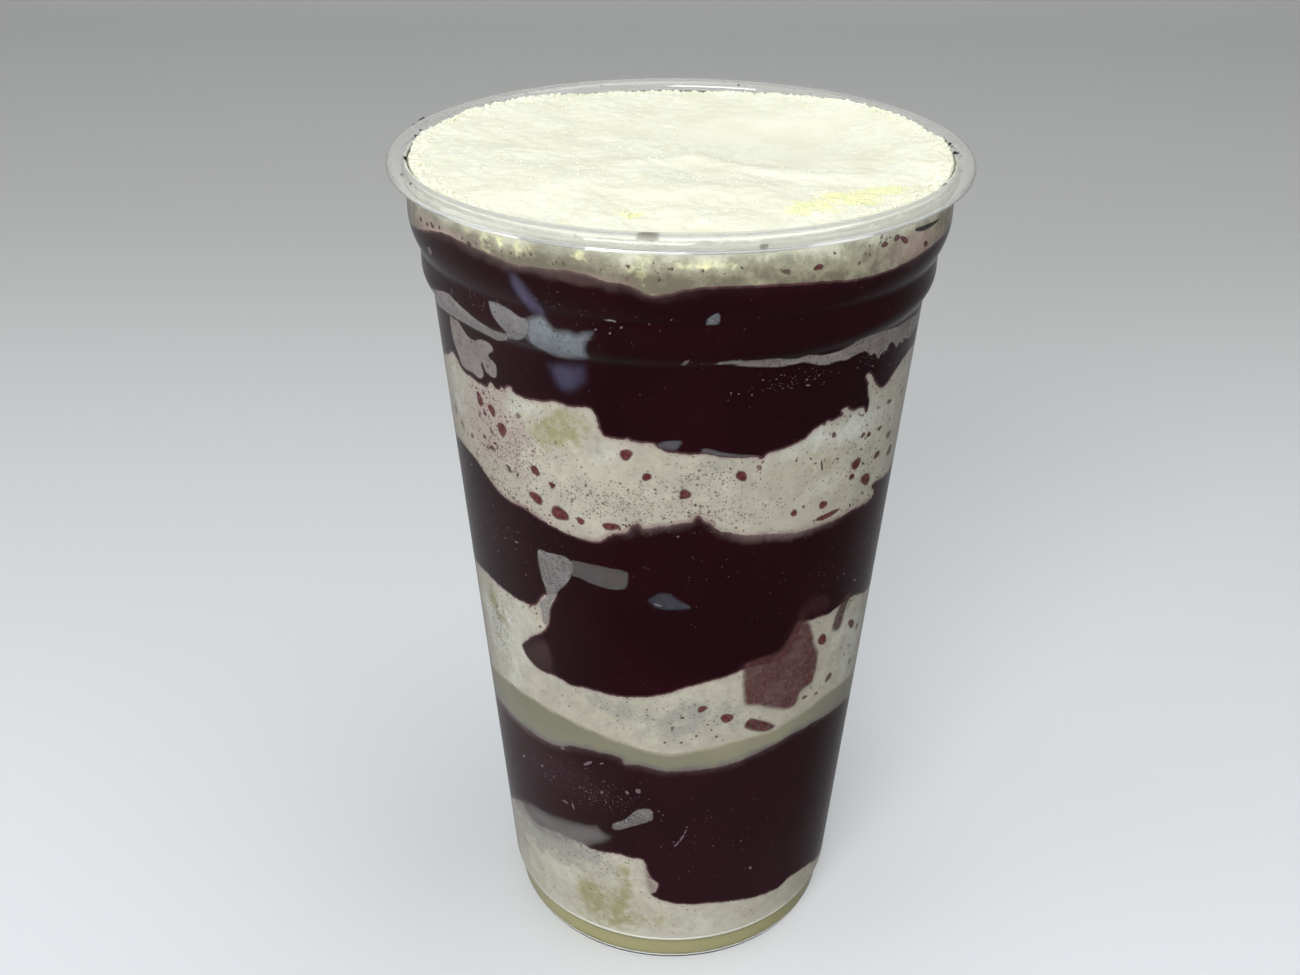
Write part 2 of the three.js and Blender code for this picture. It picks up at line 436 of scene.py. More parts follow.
def add_patch(batch, marks, cover, hue, soft, seed, lift=0.06, rough=0.12):
    """A film on the wall inside marks. It covers what is under it by `cover` from `soft`
    millimetres inside its edge."""
    closed = [*marks, marks[0]]
    line = resample(unroll(chaikin(closed, 1)), 0.3)[:-1]
    area = line[:, 0] * np.roll(line[:, 1], -1) - np.roll(line[:, 0], -1) * line[:, 1]
    if area.sum() < 0:
        line = line[::-1]
    line = ragged(line, rough, seed)
    near = beside(line, min(soft, 0.9) * 0.5)
    further = beside(line, min(soft, 2.4))
    flat, faces, place = fill_outline(line, FILM_STEP, np.vstack([near, further]))
    share = smooth(distances(flat, line), 0, soft)
    skin(batch, flat, faces, place, lift, cover=cover * share, hue=np.full(len(flat), hue))


def leaning(along, across, tilt):
    """An offset along and across an axis tilted by some degrees, as (sideways, up)."""
    lean = math.radians(tilt)
    return (along * math.cos(lean) - across * math.sin(lean),
            along * math.sin(lean) + across * math.cos(lean))


DROP_LIFT = 0.1
SMALL_DROP = 0.5


def add_drop(batch, angle, height, long, short, tilt, cover, hue):
    """A round spot on the wall with a wavy edge. The sizes are half axes in millimetres."""
    small = long < SMALL_DROP
    count = 9 if small else 18
    turn = np.linspace(0, 2 * math.pi, count, endpoint=False)
    wave = random.uniform(0, 6.3)
    edge = 1 + 0.1 * np.sin(2 * turn + wave) + 0.08 * np.sin(3 * turn + 2 * wave)
    radius = float(food_radius(height))
    rings = [(0.6, 1.0), (1.1, 0.0)] if small else [(0.6, 1.0), (0.85, 0.75), (1.05, 0.0)]
    middle = math.radians(angle) * UNROLL_RADIUS
    flat = [(middle, height)]
    shares = [1.0]
    faces = []
    for level, (share, ring_cover) in enumerate(rings):
        reach = share * edge
        sideways, up = leaning(long * reach * np.cos(turn), short * reach * np.sin(turn), tilt)
        start = len(flat)
        flat.extend(zip(middle + sideways * UNROLL_RADIUS / radius, height + up))
        shares += [ring_cover] * count
        for i in range(count):
            j = (i + 1) % count
            if level == 0:
                faces.append((0, start + i, start + j))
            else:
                faces.append((start + i - count, start + i, start + j, start + j - count))
    loop = list(range(len(flat) - count, len(flat)))
    skin(batch, np.array(flat), faces, loop, DROP_LIFT,
         cover=np.array(shares) * cover, hue=np.full(len(flat), hue))


# ---------------------------------------------------------------- materials

def colour(red, green, blue):
    """A linear colour from the 0 to 255 values of a display."""
    def linear(v):
        v /= 255
        return v / 12.92 if v <= 0.04045 else ((v + 0.055) / 1.055) ** 2.4
    return (linear(red), linear(green), linear(blue), 1)


# How much of a dry colour's light moist food gives back.
MOIST_SHARE = 0.62


class Nodes:
    """A material's node tree, with short calls for the nodes used here."""

    def __init__(self, name):
        self.material = bpy.data.materials.new(name)
        self.material.use_nodes = True
        self.tree = self.material.node_tree
        self.tree.nodes.clear()
        self.output = self.add("ShaderNodeOutputMaterial")

    def add(self, kind, inputs=None, **settings):
        node = self.tree.nodes.new(kind)
        for key, value in settings.items():
            setattr(node, key, value)
        for key, value in (inputs or {}).items():
            self.put(node, key, value)
        return node

    def put(self, node, key, value):
        if isinstance(value, bpy.types.NodeSocket):
            self.tree.links.new(value, node.inputs[key])
        else:
            node.inputs[key].default_value = value

    def place(self):
        """The point on the object, in metres."""
        return self.add("ShaderNodeTexCoord").outputs["Object"]

    def noise(self, scale, detail=3.0, roughness=0.5, distortion=0.0):
        return self.add("ShaderNodeTexNoise", {
            "Vector": self.place(), "Scale": scale, "Detail": detail,
            "Roughness": roughness, "Distortion": distortion,
        }).outputs["Fac"]

    def dots(self, scale, radius, density):
        """A mask of round dots. The radius is a share of the cell size 1 / scale."""
        cells = self.add("ShaderNodeTexVoronoi", {"Vector": self.place(), "Scale": scale})
        parts = self.add("ShaderNodeSeparateColor", {"Color": cells.outputs["Color"]})
        size = self.maths("MULTIPLY_ADD", parts.outputs["Green"], 0.7 * radius, 0.5 * radius)
        edge = self.maths("DIVIDE", cells.outputs["Distance"], size)
        dot = self.between(edge, 0.6, 1.0, 1.0, 0.0)
        chosen = self.maths("LESS_THAN", parts.outputs["Red"], density)
        return self.maths("MULTIPLY", dot, chosen)

    def between(self, value, low, high, to_low=0.0, to_high=1.0):
        """A value taken evenly from one range to another, and held at the ends."""
        return self.add("ShaderNodeMapRange", {
            "Value": value, "From Min": low, "From Max": high,
            "To Min": to_low, "To Max": to_high,
        }, interpolation_type="SMOOTHSTEP").outputs["Result"]

    def maths(self, operation, a, b=0.0, c=0.0):
        return self.add("ShaderNodeMath", {0: a, 1: b, 2: c}, operation=operation).outputs[0]

    def mix(self, share, a, b, blend="MIX"):
        node = self.add("ShaderNodeMix", data_type="RGBA", blend_type=blend)
        self.put(node, "Factor", share)
        self.put(node, 6, a)
        self.put(node, 7, b)
        return node.outputs[2]

    def value(self, name):
        """A value that the mesh holds at its points."""
        return self.add("ShaderNodeAttribute", attribute_name=name).outputs["Fac"]

    def broken(self, name, scale, detail, roughness, reach):
        """A value that the mesh holds, broken up by noise of up to plus or minus `reach`."""
        shift = self.between(self.noise(scale, detail, roughness), 0.3, 0.7, -reach, reach)
        return self.maths("ADD", self.value(name), shift)

    def tinted(self, body, name, share, tint):
        """The body tinted where the mesh holds a value, by this share of it."""
        return self.mix(self.maths("MULTIPLY", self.value(name), share), body, tint)

    def moist_skin(self, body):
        """The colour as moist food shows it, which gives back less light than dry powder."""
        return self.mix(1.0, body, (MOIST_SHARE, MOIST_SHARE, MOIST_SHARE, 1), "MULTIPLY")

    def surface(self, socket):
        self.tree.links.new(socket, self.output.inputs["Surface"])
        return self.material

    def shaded(self, base, roughness, specular, **inputs):
        """The finished material, with this base colour and these other inputs."""
        return self.surface(self.add("ShaderNodeBsdfPrincipled", {
            "Base Color": base, "Roughness": roughness, "Specular IOR Level": specular, **inputs,
        }).outputs[0])


def clear_plastic():
    n = Nodes("clear_plastic")
    glass = n.add("ShaderNodeBsdfPrincipled", {
        "Base Color": (0.985, 0.985, 0.98, 1), "Roughness": 0.02, "IOR": 1.45,
        "Transmission Weight": 1.0,
    })
    open_to_lamps = n.add("ShaderNodeBsdfTransparent", {"Color": (0.97, 0.97, 0.97, 1)})
    is_shadow = n.add("ShaderNodeLightPath").outputs["Is Shadow Ray"]
    mixed = n.add("ShaderNodeMixShader", {
        0: is_shadow, 1: glass.outputs[0], 2: open_to_lamps.outputs[0],
    })
    return n.surface(mixed.outputs[0])


def acai_tint(n):
    return n.mix(n.between(n.noise(60, 4), 0.35, 0.7), colour(34, 4, 10), colour(43, 7, 15))


def milk_tint(n):
    light, dark = colour(222, 217, 200), colour(204, 198, 181)
    return n.mix(n.between(n.noise(38, 4, 0.55), 0.32, 0.68), light, dark)


def acai():
    n = Nodes("acai")
    body = acai_tint(n)
    near = n.maths("MINIMUM", n.value("high"), n.value("low"))
    edge = n.between(near, 0.0, 0.6, 0.45, 0.0)
    edge = n.maths("MULTIPLY", edge, n.between(n.noise(330, 3), 0.35, 0.6, 0.4, 1.0))
    body = n.mix(edge, body, colour(168, 128, 128))
    # A grey veil along the açaí's upper border where the mesh says: in part painted reflection, strongest at
    # the cup's left edge.
    veil_and_sheen = n.between(n.broken("high", 300, 4, 0.6, 0.35), 0.0, 1.9, 0.85, 0.0)
    body = n.mix(n.maths("MULTIPLY", veil_and_sheen, n.value("veil_and_sheen")), body, colour(132, 116, 112))
    body = n.tinted(body, "pink", 0.4, colour(104, 78, 84))
    sparse = n.between(n.noise(90, 2), 0.45, 0.75, 0.02, 0.25)
    specks = n.dots(1500, 0.2, sparse)
    body = n.mix(n.maths("MULTIPLY", specks, 0.18), body, colour(190, 170, 172))
    return n.shaded(n.moist_skin(body), 0.5, 0.02)


def milk():
    n = Nodes("milk_cream")
    body = milk_tint(n)
    # Pale and white patches: paler milk in places, and painted light near the cup's left and right edges.
    body = n.tinted(body, "pale", 0.7, colour(236, 233, 217))
    white = n.between(n.broken("white", 170, 4, 0.6, 0.35), 0.25, 0.9, 0.0, 0.85)
    body = n.mix(white, body, colour(238, 241, 234))
    bright = n.between(n.noise(75, 4, 0.6), 0.5, 0.68, 0.0, 0.6)
    body = n.mix(bright, body, colour(236, 235, 218))
    streaks = n.between(n.noise(240, 5, 0.6), 0.34, 0.66, 0.4, 0.0)
    body = n.mix(streaks, body, colour(178, 174, 160))
    fine = n.between(n.noise(900, 3, 0.6), 0.35, 0.65, 0.14, 0.0)
    body = n.mix(fine, body, colour(150, 142, 126))
    for name, scale, roughness, low, high, share, tint in (
        ("warm", 380, 0.7, 0.25, 1.15, 0.95, colour(173, 170, 129)),
        ("pink", 300, 0.6, 0.3, 1.0, 0.7, colour(196, 178, 176)),
        ("grey", 280, 0.65, 0.3, 1.0, 0.8, colour(172, 172, 166)),
    ):
        patches = n.broken(name, scale, 5, roughness, 0.4)
        body = n.mix(n.between(patches, low, high, 0.0, share), body, tint)
    low = n.between(n.value("low"), 0.0, 1.1, 1.0, 0.0)
    low = n.maths("MULTIPLY", low, n.between(n.noise(330, 4), 0.35, 0.6, 0.35, 1.0))
    body = n.mix(n.maths("MULTIPLY", low, 0.7), body, colour(150, 124, 122))
    high = n.between(n.value("high"), 0.0, 0.6, 1.0, 0.0)
    body = n.mix(n.maths("MULTIPLY", high, 0.45), body, colour(158, 138, 136))
    # Painted shade in fine pits, thickest where the pin value says.
    density = n.maths("MULTIPLY_ADD", n.value("pin"), 0.9, 0.03)
    pit_shade = n.maths("MAXIMUM", n.dots(1700, 0.46, density), n.dots(2900, 0.5, density))
    body = n.mix(n.maths("MULTIPLY", pit_shade, 0.65), body, colour(112, 94, 86))
    body = n.tinted(body, "glint", 0.8, colour(246, 244, 232))
    return n.shaded(n.moist_skin(body), 0.45, 0.15)


def condensed_milk():
    n = Nodes("condensed_milk")
    body = n.mix(n.between(n.noise(30, 3), 0.3, 0.7), colour(165, 162, 136), colour(146, 144, 121))
    high = n.between(n.broken("high", 200, 4, 0.6, 0.3), 0.0, 1.0, 0.7, 0.0)
    body = n.mix(high, body, colour(200, 196, 174))
    low = n.between(n.broken("low", 260, 4, 0.6, 0.35), 0.0, 1.5, 0.8, 0.0)
    body = n.mix(low, body, colour(122, 116, 120))
    body = n.tinted(body, "grey", 0.6, colour(152, 150, 146))
    body = n.mix(n.value("warm"), body, colour(192, 187, 142))
    return n.shaded(n.moist_skin(body), 0.3, 0.2)


def milk_powder():
    n = Nodes("milk_powder")
    body = n.mix(n.between(n.noise(110, 4), 0.3, 0.7), colour(241, 242, 222), colour(233, 234, 211))
    lumps = n.between(n.noise(620, 2, 0.5), 0.42, 0.6)
    lumps = n.maths("MULTIPLY", lumps, n.between(n.noise(70, 2), 0.38, 0.6, 0.0, 0.6))
    body = n.mix(lumps, body, colour(247, 248, 234))
    moist = n.between(n.noise(260, 6, 0.7), 0.3, 0.7, -0.24, 0.24)
    moist = n.maths("MULTIPLY", moist, n.between(n.value("moist"), 0.0, 0.25))
    moist = n.maths("ADD", n.value("moist"), moist)
    body = n.mix(n.between(moist, 0.1, 0.7, 0.0, 0.95), body, colour(160, 158, 134))
    body = n.mix(n.between(moist, 0.5, 1.15, 0.0, 0.95), body, colour(106, 101, 86))
    warm = n.between(n.broken("warm", 330, 4, 0.6, 0.4), 0.25, 0.8, 0.0, 0.9)
    body = n.mix(warm, body, colour(240, 241, 190))
    body = n.tinted(body, "pink", 0.6, colour(190, 166, 160))
    grain = n.add("ShaderNodeBump", {
        "Height": n.noise(2600, 4, 0.6), "Distance": 0.3 * MM, "Strength": 0.4,
    })
    return n.shaded(body, 0.9, 0.1, Normal=grain.outputs["Normal"])


def film_material(name, warm, cool, mottle, fleck=None, dry=False):
    """A film that hides what is under it as far as its cover value says, thinner in places."""
    n = Nodes(name)
    body = n.mix(n.value("hue"), warm, cool)
    if fleck:
        body = n.mix(n.between(n.noise(1300, 4, 0.65), 0.42, 0.66, 0.0, 0.8), body, fleck)
    fine = n.between(n.noise(1100, 3, 0.6), 0.3, 0.7, 1.0 - mottle, 1.0)
    broad = n.between(n.noise(260, 3, 0.55), 0.3, 0.7, 1.0 - mottle, 1.0)
    holes = n.maths("MULTIPLY_ADD", n.dots(1300, 0.42, 0.5), -mottle, 1.0)
    cover = n.maths("MULTIPLY", n.value("cover"), n.maths("MULTIPLY", fine, broad))
    base = body if dry else n.moist_skin(body)
    return n.shaded(base, 0.45, 0.1, Alpha=n.maths("MULTIPLY", cover, holes))


def plain(name, tint):
    """One colour all over, as dark as moist food."""
    return Nodes(name).shaded((*(MOIST_SHARE * part for part in tint[:3]), 1), 0.8, 0.15)


CLEAR = clear_plastic()
ACAI = acai()
MILK = milk()
CONDENSED = condensed_milk()
POWDER = milk_powder()
SMEAR = film_material("milk_smear", colour(170, 161, 157), colour(146, 164, 178), 0.22)
MAUVE = film_material("mauve_film", colour(150, 118, 116), colour(128, 126, 164), 0.3)
STAIN = film_material("acai_stain", colour(94, 50, 54), colour(76, 38, 40), 0.18, colour(128, 88, 88))
# Açaí drops, and in the other colour the painted shade in small pits.
DROP_AND_PIT_SHADE = film_material("acai_drop_and_pit_shade", colour(98, 42, 47), colour(92, 82, 72), 0.06, colour(136, 88, 87))
SPECK = plain("milk_speck", colour(132, 112, 117))
# The rim's pale bloom, in part painted light, its smudges in the darker colour, and the painted highlight
# along the foot's step.
HAZE_AND_PAINTED_LIGHT = film_material("rim_haze_and_painted_light", colour(236, 237, 226), colour(130, 128, 118), 0.0, dry=True)
SHADE = film_material("rim_shade", colour(96, 94, 92), colour(96, 94, 92), 0.2)
CRUMB = plain("acai_crumb", colour(34, 26, 24))


# ---------------------------------------------------------------- the cup

# The rolled rim: half its sheet's thickness, and its middle line as part of an ellipse.
SHEET = 0.28
CURL_WIDTH = 1.48
CURL_HEIGHT = 1.25
CURL_RADIUS = RIM_RADIUS - SHEET - CURL_WIDTH
CURL_LEVEL = CUP_HEIGHT - SHEET - CURL_HEIGHT


def curl(grow, start, end, steps=20):
    """Part of the rim's curl, as an ellipse about its middle. Angles are in degrees."""
    turn = np.radians(np.linspace(start, end, steps))
    return list(zip(
        CURL_RADIUS + (CURL_WIDTH + grow) * np.cos(turn),
        CURL_LEVEL + (CURL_HEIGHT + grow) * np.sin(turn),
    ))


def cup_outline():
    """The clear cup's section, from the axis under its floor round to the axis on top of it."""
    heights = np.concatenate([
        np.arange(1.0, 8.0, 0.3), np.arange(8.0, 133.0, 5.0), np.arange(133.0, 150.0, 0.3),
        [151.5, 153.0, 154.5],
    ])
    recess = CHANNEL_RADIUS - WALL
    under = FLOOR_TOP - WALL
    corner = np.radians(np.linspace(-80, -10, 6))
    foot = [(FOOT_RADIUS - FOOT_CORNER + FOOT_CORNER * math.cos(a),
             FOOT_CORNER + FOOT_CORNER * math.sin(a)) for a in corner]
    outer = [(float(wall_radius(z)), z) for z in heights]
    inner = [(float(wall_radius(z)) - WALL, z) for z in heights[::-1] if z > FOOT_CORNER + WALL]
    return [
        (0, under), (recess - 1, under), (recess - 0.3, under - 0.3),
        (recess, under - 1), (recess, 0.5), (recess + 0.4, 0.0),
        (FOOT_RADIUS - FOOT_CORNER, 0.0),
        *foot, *outer,
        *curl(-SHEET, 180, -60), *curl(SHEET, -60, 180),
        *inner,
        (FOOT_RADIUS - FOOT_CORNER, WALL), (CHANNEL_RADIUS + 0.5, WALL), (CHANNEL_RADIUS, WALL + 0.5),
        (CHANNEL_RADIUS, FLOOR_TOP - 0.5), (CHANNEL_RADIUS - 0.5, FLOOR_TOP), (0, FLOOR_TOP),
    ]


CUP_SEGMENTS = 256
RING_SEGMENTS = 200

points, faces = turned(cup_outline(), CUP_SEGMENTS)
make_piece("cup_shell", points, faces, CLEAR, ["cup"], sharp=50)


def haze_and_painted_light_piece():
    """The pale bloom inside the rim's plastic, thinning out down the neck. It is thicker towards the front,
    where it is painted light.
    """
    middle = NECK_RADIUS - WALL / 2
    neck = [(middle, z) for z in (150.5, 152.0, 153.2, 154.2)]
    line = np.array(neck + curl(0, 172, -56, 24))
    ahead = np.gradient(line, axis=0)
    ahead /= np.hypot(*ahead.T)[:, None]
    side = np.stack([ahead[:, 1], -ahead[:, 0]], axis=-1) * 0.04
    outline = [tuple(p) for p in np.vstack([line + side, (line - side)[::-1]])]
    points, faces = turned(outline, RING_SEGMENTS)
    share = np.concatenate([[0.0, 0.01, 0.03, 0.05], np.full(24, 0.075)])
    cover = np.repeat(np.concatenate([share, share[::-1]]), RING_SEGMENTS)
    # Painted light: the bloom is thicker towards the front.
    cover = cover * (1 + 1.1 * smooth(72 - np.abs(np.degrees(turns_of(points))), 0, 24))
    make_piece("rim_haze_and_painted_light", points, faces, HAZE_AND_PAINTED_LIGHT, (),
               {"cover": cover, "hue": np.zeros(len(points))}, sharp=50)


haze_and_painted_light_piece()

# Smudges on the rim: (angle, half width in degrees, start and end on the curl, cover).
RIM_MARKS = [(-4.9, 2.0, 35, 125, 0.5), (14.3, 0.8, -25, 10, 0.3)]
MARK_WIDTH = 9


def grid_faces(width):
    """The quads of a square grid of points, with this many to a side."""
    rows = [row * width for row in range(width - 1)]
    return [(a, a + 1, a + 1 + width, a + width) for row in rows for a in range(row, row + width - 1)]


def grid_rim(width):
    """The numbers of the points round such a grid, in order."""
    last = width - 1
    rim = list(range(last))
    rim += [last + row * width for row in range(last)]
    rim += [last * width + i for i in range(last, 0, -1)]
    rim += [row * width for row in range(last, 0, -1)]
    return rim


def rim_marks():
    """Each smudge is a thin closed body with a front and a back inside the rim's plastic."""
    marks = Batch("cover", "hue")
    sides = np.linspace(-1, 1, MARK_WIDTH)
    count = MARK_WIDTH ** 2
    for middle, wide, start, end, cover in RIM_MARKS:
        points = []
        share = []
        for grow in (0.18, 0.12):
            radii, levels = np.array(curl(grow, start, end, MARK_WIDTH)).T
            for side in sides:
                points += around(radii, math.radians(middle + wide * side), levels).tolist()
                share += [min(1, 2.4 * (1 - max(abs(side), abs(other)))) for other in sides]
        front = grid_faces(MARK_WIDTH)
        behind = [tuple(v + count for v in face[::-1]) for face in front]
        edge = grid_rim(MARK_WIDTH)
        walls = [(b, a, a + count, b + count) for a, b in zip(edge, edge[1:] + edge[:1])]
        marks.add(points, front + behind + walls,
                  cover=[cover * part for part in share], hue=[1.0] * len(points))
    marks.piece("rim_marks", HAZE_AND_PAINTED_LIGHT, "clear_plastic", sharp=50)


rim_marks()


def ring_line(name, radius, low, high, material, cover_at):
    """A thin line round the wall. `cover_at` gives its cover for degrees from the front."""
    outline = [(radius, low), (radius + 0.05, low), (radius + 0.05, high), (radius, high)]
    points, faces = turned(outline, RING_SEGMENTS)
    cover = cover_at(np.abs(np.degrees(turns_of(points))))
    make_piece(name, points, faces, material, (),
               {"cover": cover, "hue": np.zeros(len(points))}, sharp=50)


# Painted shade where the neck's inner face ends above the powder, and a painted highlight along the foot's
# step.
ring_line("rim_painted_shade", NECK_RADIUS - WALL - 0.06, 155.0, 156.1, SHADE,
          lambda turn: 0.55 * smooth(turn, 12, 50) * smooth(125 - turn, 0, 30))
ring_line("foot_painted_highlight", float(wall_radius(6.7)) - 0.36, 6.4, 6.95, HAZE_AND_PAINTED_LIGHT,
          lambda turn: 0.5 - 0.2 * smooth(turn, 20, 70))


# ---------------------------------------------------------------- the layers' borders

# The borders, as (angle, height) marks, and the outlines, drops, pits and specks further down.
# On the side that the photo shows, up to about 75 degrees, the marks were picked in the photo.
# A separate script turned their pixels into places on the wall, and dropped those on nearly
# straight stretches. The far side is made up.
MILK_1_TOP = [
    (-165, 27), (-140, 20), (-120, 17), (-84, 19), (-74.5, 21.4), (-58.5, 28.3), (-56, 27.3),
    (-53, 26.6), (-49, 26.3), (-37.5, 28.7), (-35.5, 28.4), (-29, 29.2), (-25.5, 28.1), (-17.5, 29.2),
    (-12.5, 28.9), (-8.5, 29), (-7.5, 28.1), (-6.5, 25.2), (-5.5, 23.9), (-3, 22.4), (-4, 20),
    (-5.5, 19.6), (-5.5, 18.8), (0.5, 17.1), (7.5, 16.5), (15, 16.4), (39.5, 13.3), (43, 13.8),
    (45, 14.6), (49, 14.3), (58, 12.8), (64.5, 10.5), (69.5, 9.6), (84, 9.5), (100, 10.5), (120, 13),
    (140, 19), (165, 26),
]
RIBBON_BOTTOM = [
    (-165, 51), (-140, 54), (-120, 52.5), (-100, 48.5), (-84, 47.5), (-76, 48.8), (-67.5, 50.9),
    (-62.5, 51.5), (-47.5, 52.1), (-40.5, 51.9), (-36.5, 52.2), (-33.5, 52.7), (-30, 53.9),
    (-26.5, 54.5), (-13.5, 55), (-13.5, 52.7), (-8.5, 53.6), (-4, 52.6), (1, 52.4), (19, 53),
    (23.5, 54), (31.5, 55.1), (37, 55.7), (43.5, 55.7), (47.5, 55.6), (65, 53.2), (74, 50.5), (84, 48),
    (100, 48.5), (120, 52), (140, 54), (165, 50.5),
]
RIBBON_TOP = [
    (-165, 57), (-140, 60.5), (-120, 58.5), (-100, 54.5), (-84, 54.5), (-61.5, 60), (-46.5, 61.1),
    (-39, 61.1), (-28.5, 60.5), (-16, 58.9), (-7, 57.2), (-0.5, 56.8), (3, 56.9), (8.5, 57.8),
    (23, 58.8), (30, 58.6), (33, 59.6), (39, 60.2), (45.5, 60.4), (50, 61.2), (65, 58.9), (74, 57),
    (84, 54.5), (100, 54.5), (120, 58), (140, 60), (165, 56.5),
]
MILK_2_TOP = [
    (-165, 76), (-140, 73), (-120, 77), (-100, 78), (-82, 79.3), (-69.5, 81.8), (-63, 82.9),
    (-58.5, 83.3), (-46.5, 83), (-40, 83.4), (-37.5, 83.9), (-35.5, 86.3), (-34, 87.4), (-30.5, 88.6),
    (-31, 87.2), (-32.5, 85.5), (-33.5, 83.6), (-33.5, 81.8), (-35, 79.7), (-37, 78.2), (-41, 76.2),
    (-45.5, 72.9), (-45, 71.8), (-44, 70.8), (-40.5, 69.4), (-38, 69.2), (-32, 69.6), (-28.5, 68.7),
    (-22.5, 69.3), (-18, 69.2), (-16, 68.9), (-5.5, 69.8), (0, 71), (2, 71.8), (9.5, 73.4), (14, 73.8),
    (21, 75.5), (27, 75), (29.5, 75.1), (31.5, 75.8), (33, 76.7), (35, 79.8), (35.5, 81.4), (36.5, 82),
    (45, 80.9), (48, 81), (51, 81.4), (56.5, 80.9), (59.5, 80.4), (68, 77.4), (76, 76.3), (84, 76.2),
    (100, 79), (120, 80), (140, 74), (165, 78),
]
ACAI_2_TOP = [
    (-165, 103), (-140, 101), (-120, 105), (-100, 104), (-82, 104.8), (-70, 108.2), (-66, 108.7),
    (-57.5, 108.5), (-54, 107.4), (-48, 104.9), (-43.5, 104.1), (-41, 104.1), (-39, 104.5),
    (-29, 102.2), (-19.5, 101.5), (-17.5, 101.7), (-15, 103.4), (-13.5, 104), (-11.5, 104.2),
    (-10.5, 104.7), (-9.5, 105.9), (-8, 106.6), (-7, 106.1), (-7, 105.2), (-3, 106.3), (4, 106.9),
    (4.5, 107.6), (6, 108.5), (7, 107.1), (8, 106.9), (10, 105.4), (12, 104.7), (17.5, 103.5),
    (24, 103.1), (27.5, 102.3), (31, 102), (45, 101.7), (48, 102), (57, 101.1), (59.5, 101.5),
    (58.5, 102.9), (56.5, 104.3), (58.5, 104.6), (69, 102.6), (76, 103), (83, 105), (100, 103),
    (120, 102), (140, 106), (165, 104),
]
MILK_3_TOP = [
    (-165, 122), (-140, 120.5), (-120, 125), (-100, 124), (-82, 121.5), (-67.5, 124.7), (-63, 127),
    (-61, 126.8), (-57.5, 124.8), (-52.5, 125), (-50.5, 124.6), (-46.5, 124.6), (-46, 125.6),
    (-45, 126.2), (-43.5, 125.3), (-42.5, 125.4), (-41.5, 126.1), (-40.5, 125.6), (-40, 126.5),
    (-39, 126.9), (-38, 126.8), (-38.5, 126.1), (-36, 125.6), (-32.5, 125.6), (-27, 126.6),
    (-25, 126.6), (-23.5, 126.2), (-18.5, 126.8), (-17.5, 126.4), (-16, 122.7), (-15, 121.9),
    (-11.5, 121.7), (-10, 122.1), (-9.5, 121.7), (-7.5, 121.5), (-4.5, 121.7), (-4, 120.9),
    (-0.5, 119.9), (3.5, 119.6), (7.5, 119.7), (12, 118.7), (18, 118.5), (19.5, 117.6), (21, 118.9),
    (24, 118.9), (27, 119.3), (30.5, 120.3), (31.5, 121.1), (34, 122), (35, 121.4), (35.5, 122.4),
    (36.5, 121.8), (37.5, 122.1), (40.5, 122.3), (39, 123.5), (41, 123.8), (42, 122.8), (43.5, 122.2),
    (46, 122.4), (47.5, 121.7), (48, 120.7), (49, 121.1), (49, 122.8), (47.5, 125.9), (47.5, 126.8),
    (46, 128), (47, 128.4), (48.5, 127.6), (50, 125.8), (54.5, 123.4), (60, 125.8), (66, 127),
    (72, 126.7), (100, 123), (120, 124.5), (140, 121), (165, 120),
]
POWDER_BOTTOM = [
    (-165, 148.5), (-140, 147.6), (-120, 148.6), (-84, 146.4), (-76, 146.8), (-64, 148.3), (-55, 150.2),
    (-49.5, 150.8), (-35.5, 150), (-32.5, 149.3), (-21.5, 150.1), (-17, 149.9), (-14.5, 149.6),
    (-13.5, 149.1), (-9, 149), (-5, 147.5), (-4, 147.4), (2.5, 148.7), (6, 149), (19, 148.7),
    (29.5, 148), (34, 147.4), (42, 147.1), (68, 148.1), (95, 147.2), (110, 148.8), (140, 147.8),
    (165, 149),
]

LINES = [
    np.stack([np.linspace(-SEAM, SEAM, 360), np.full(360, CONDENSED_LEVEL)], axis=-1),
    wall_line(MILK_1_TOP, 0.4, 11),
    wall_line(RIBBON_BOTTOM, 0.3, 12),
    wall_line(RIBBON_TOP, 0.2, 13),
    wall_line(MILK_2_TOP, 0.35, 14),
    wall_line(ACAI_2_TOP, 0.4, 15),
    wall_line(MILK_3_TOP, 0.4, 16),
    wall_line(POWDER_BOTTOM, 0.3, 17),
]
# The borders' heights on the cup's axis.
CENTRES = [CONDENSED_LEVEL, 24, 52, 57, 77, 103, 122, 147]
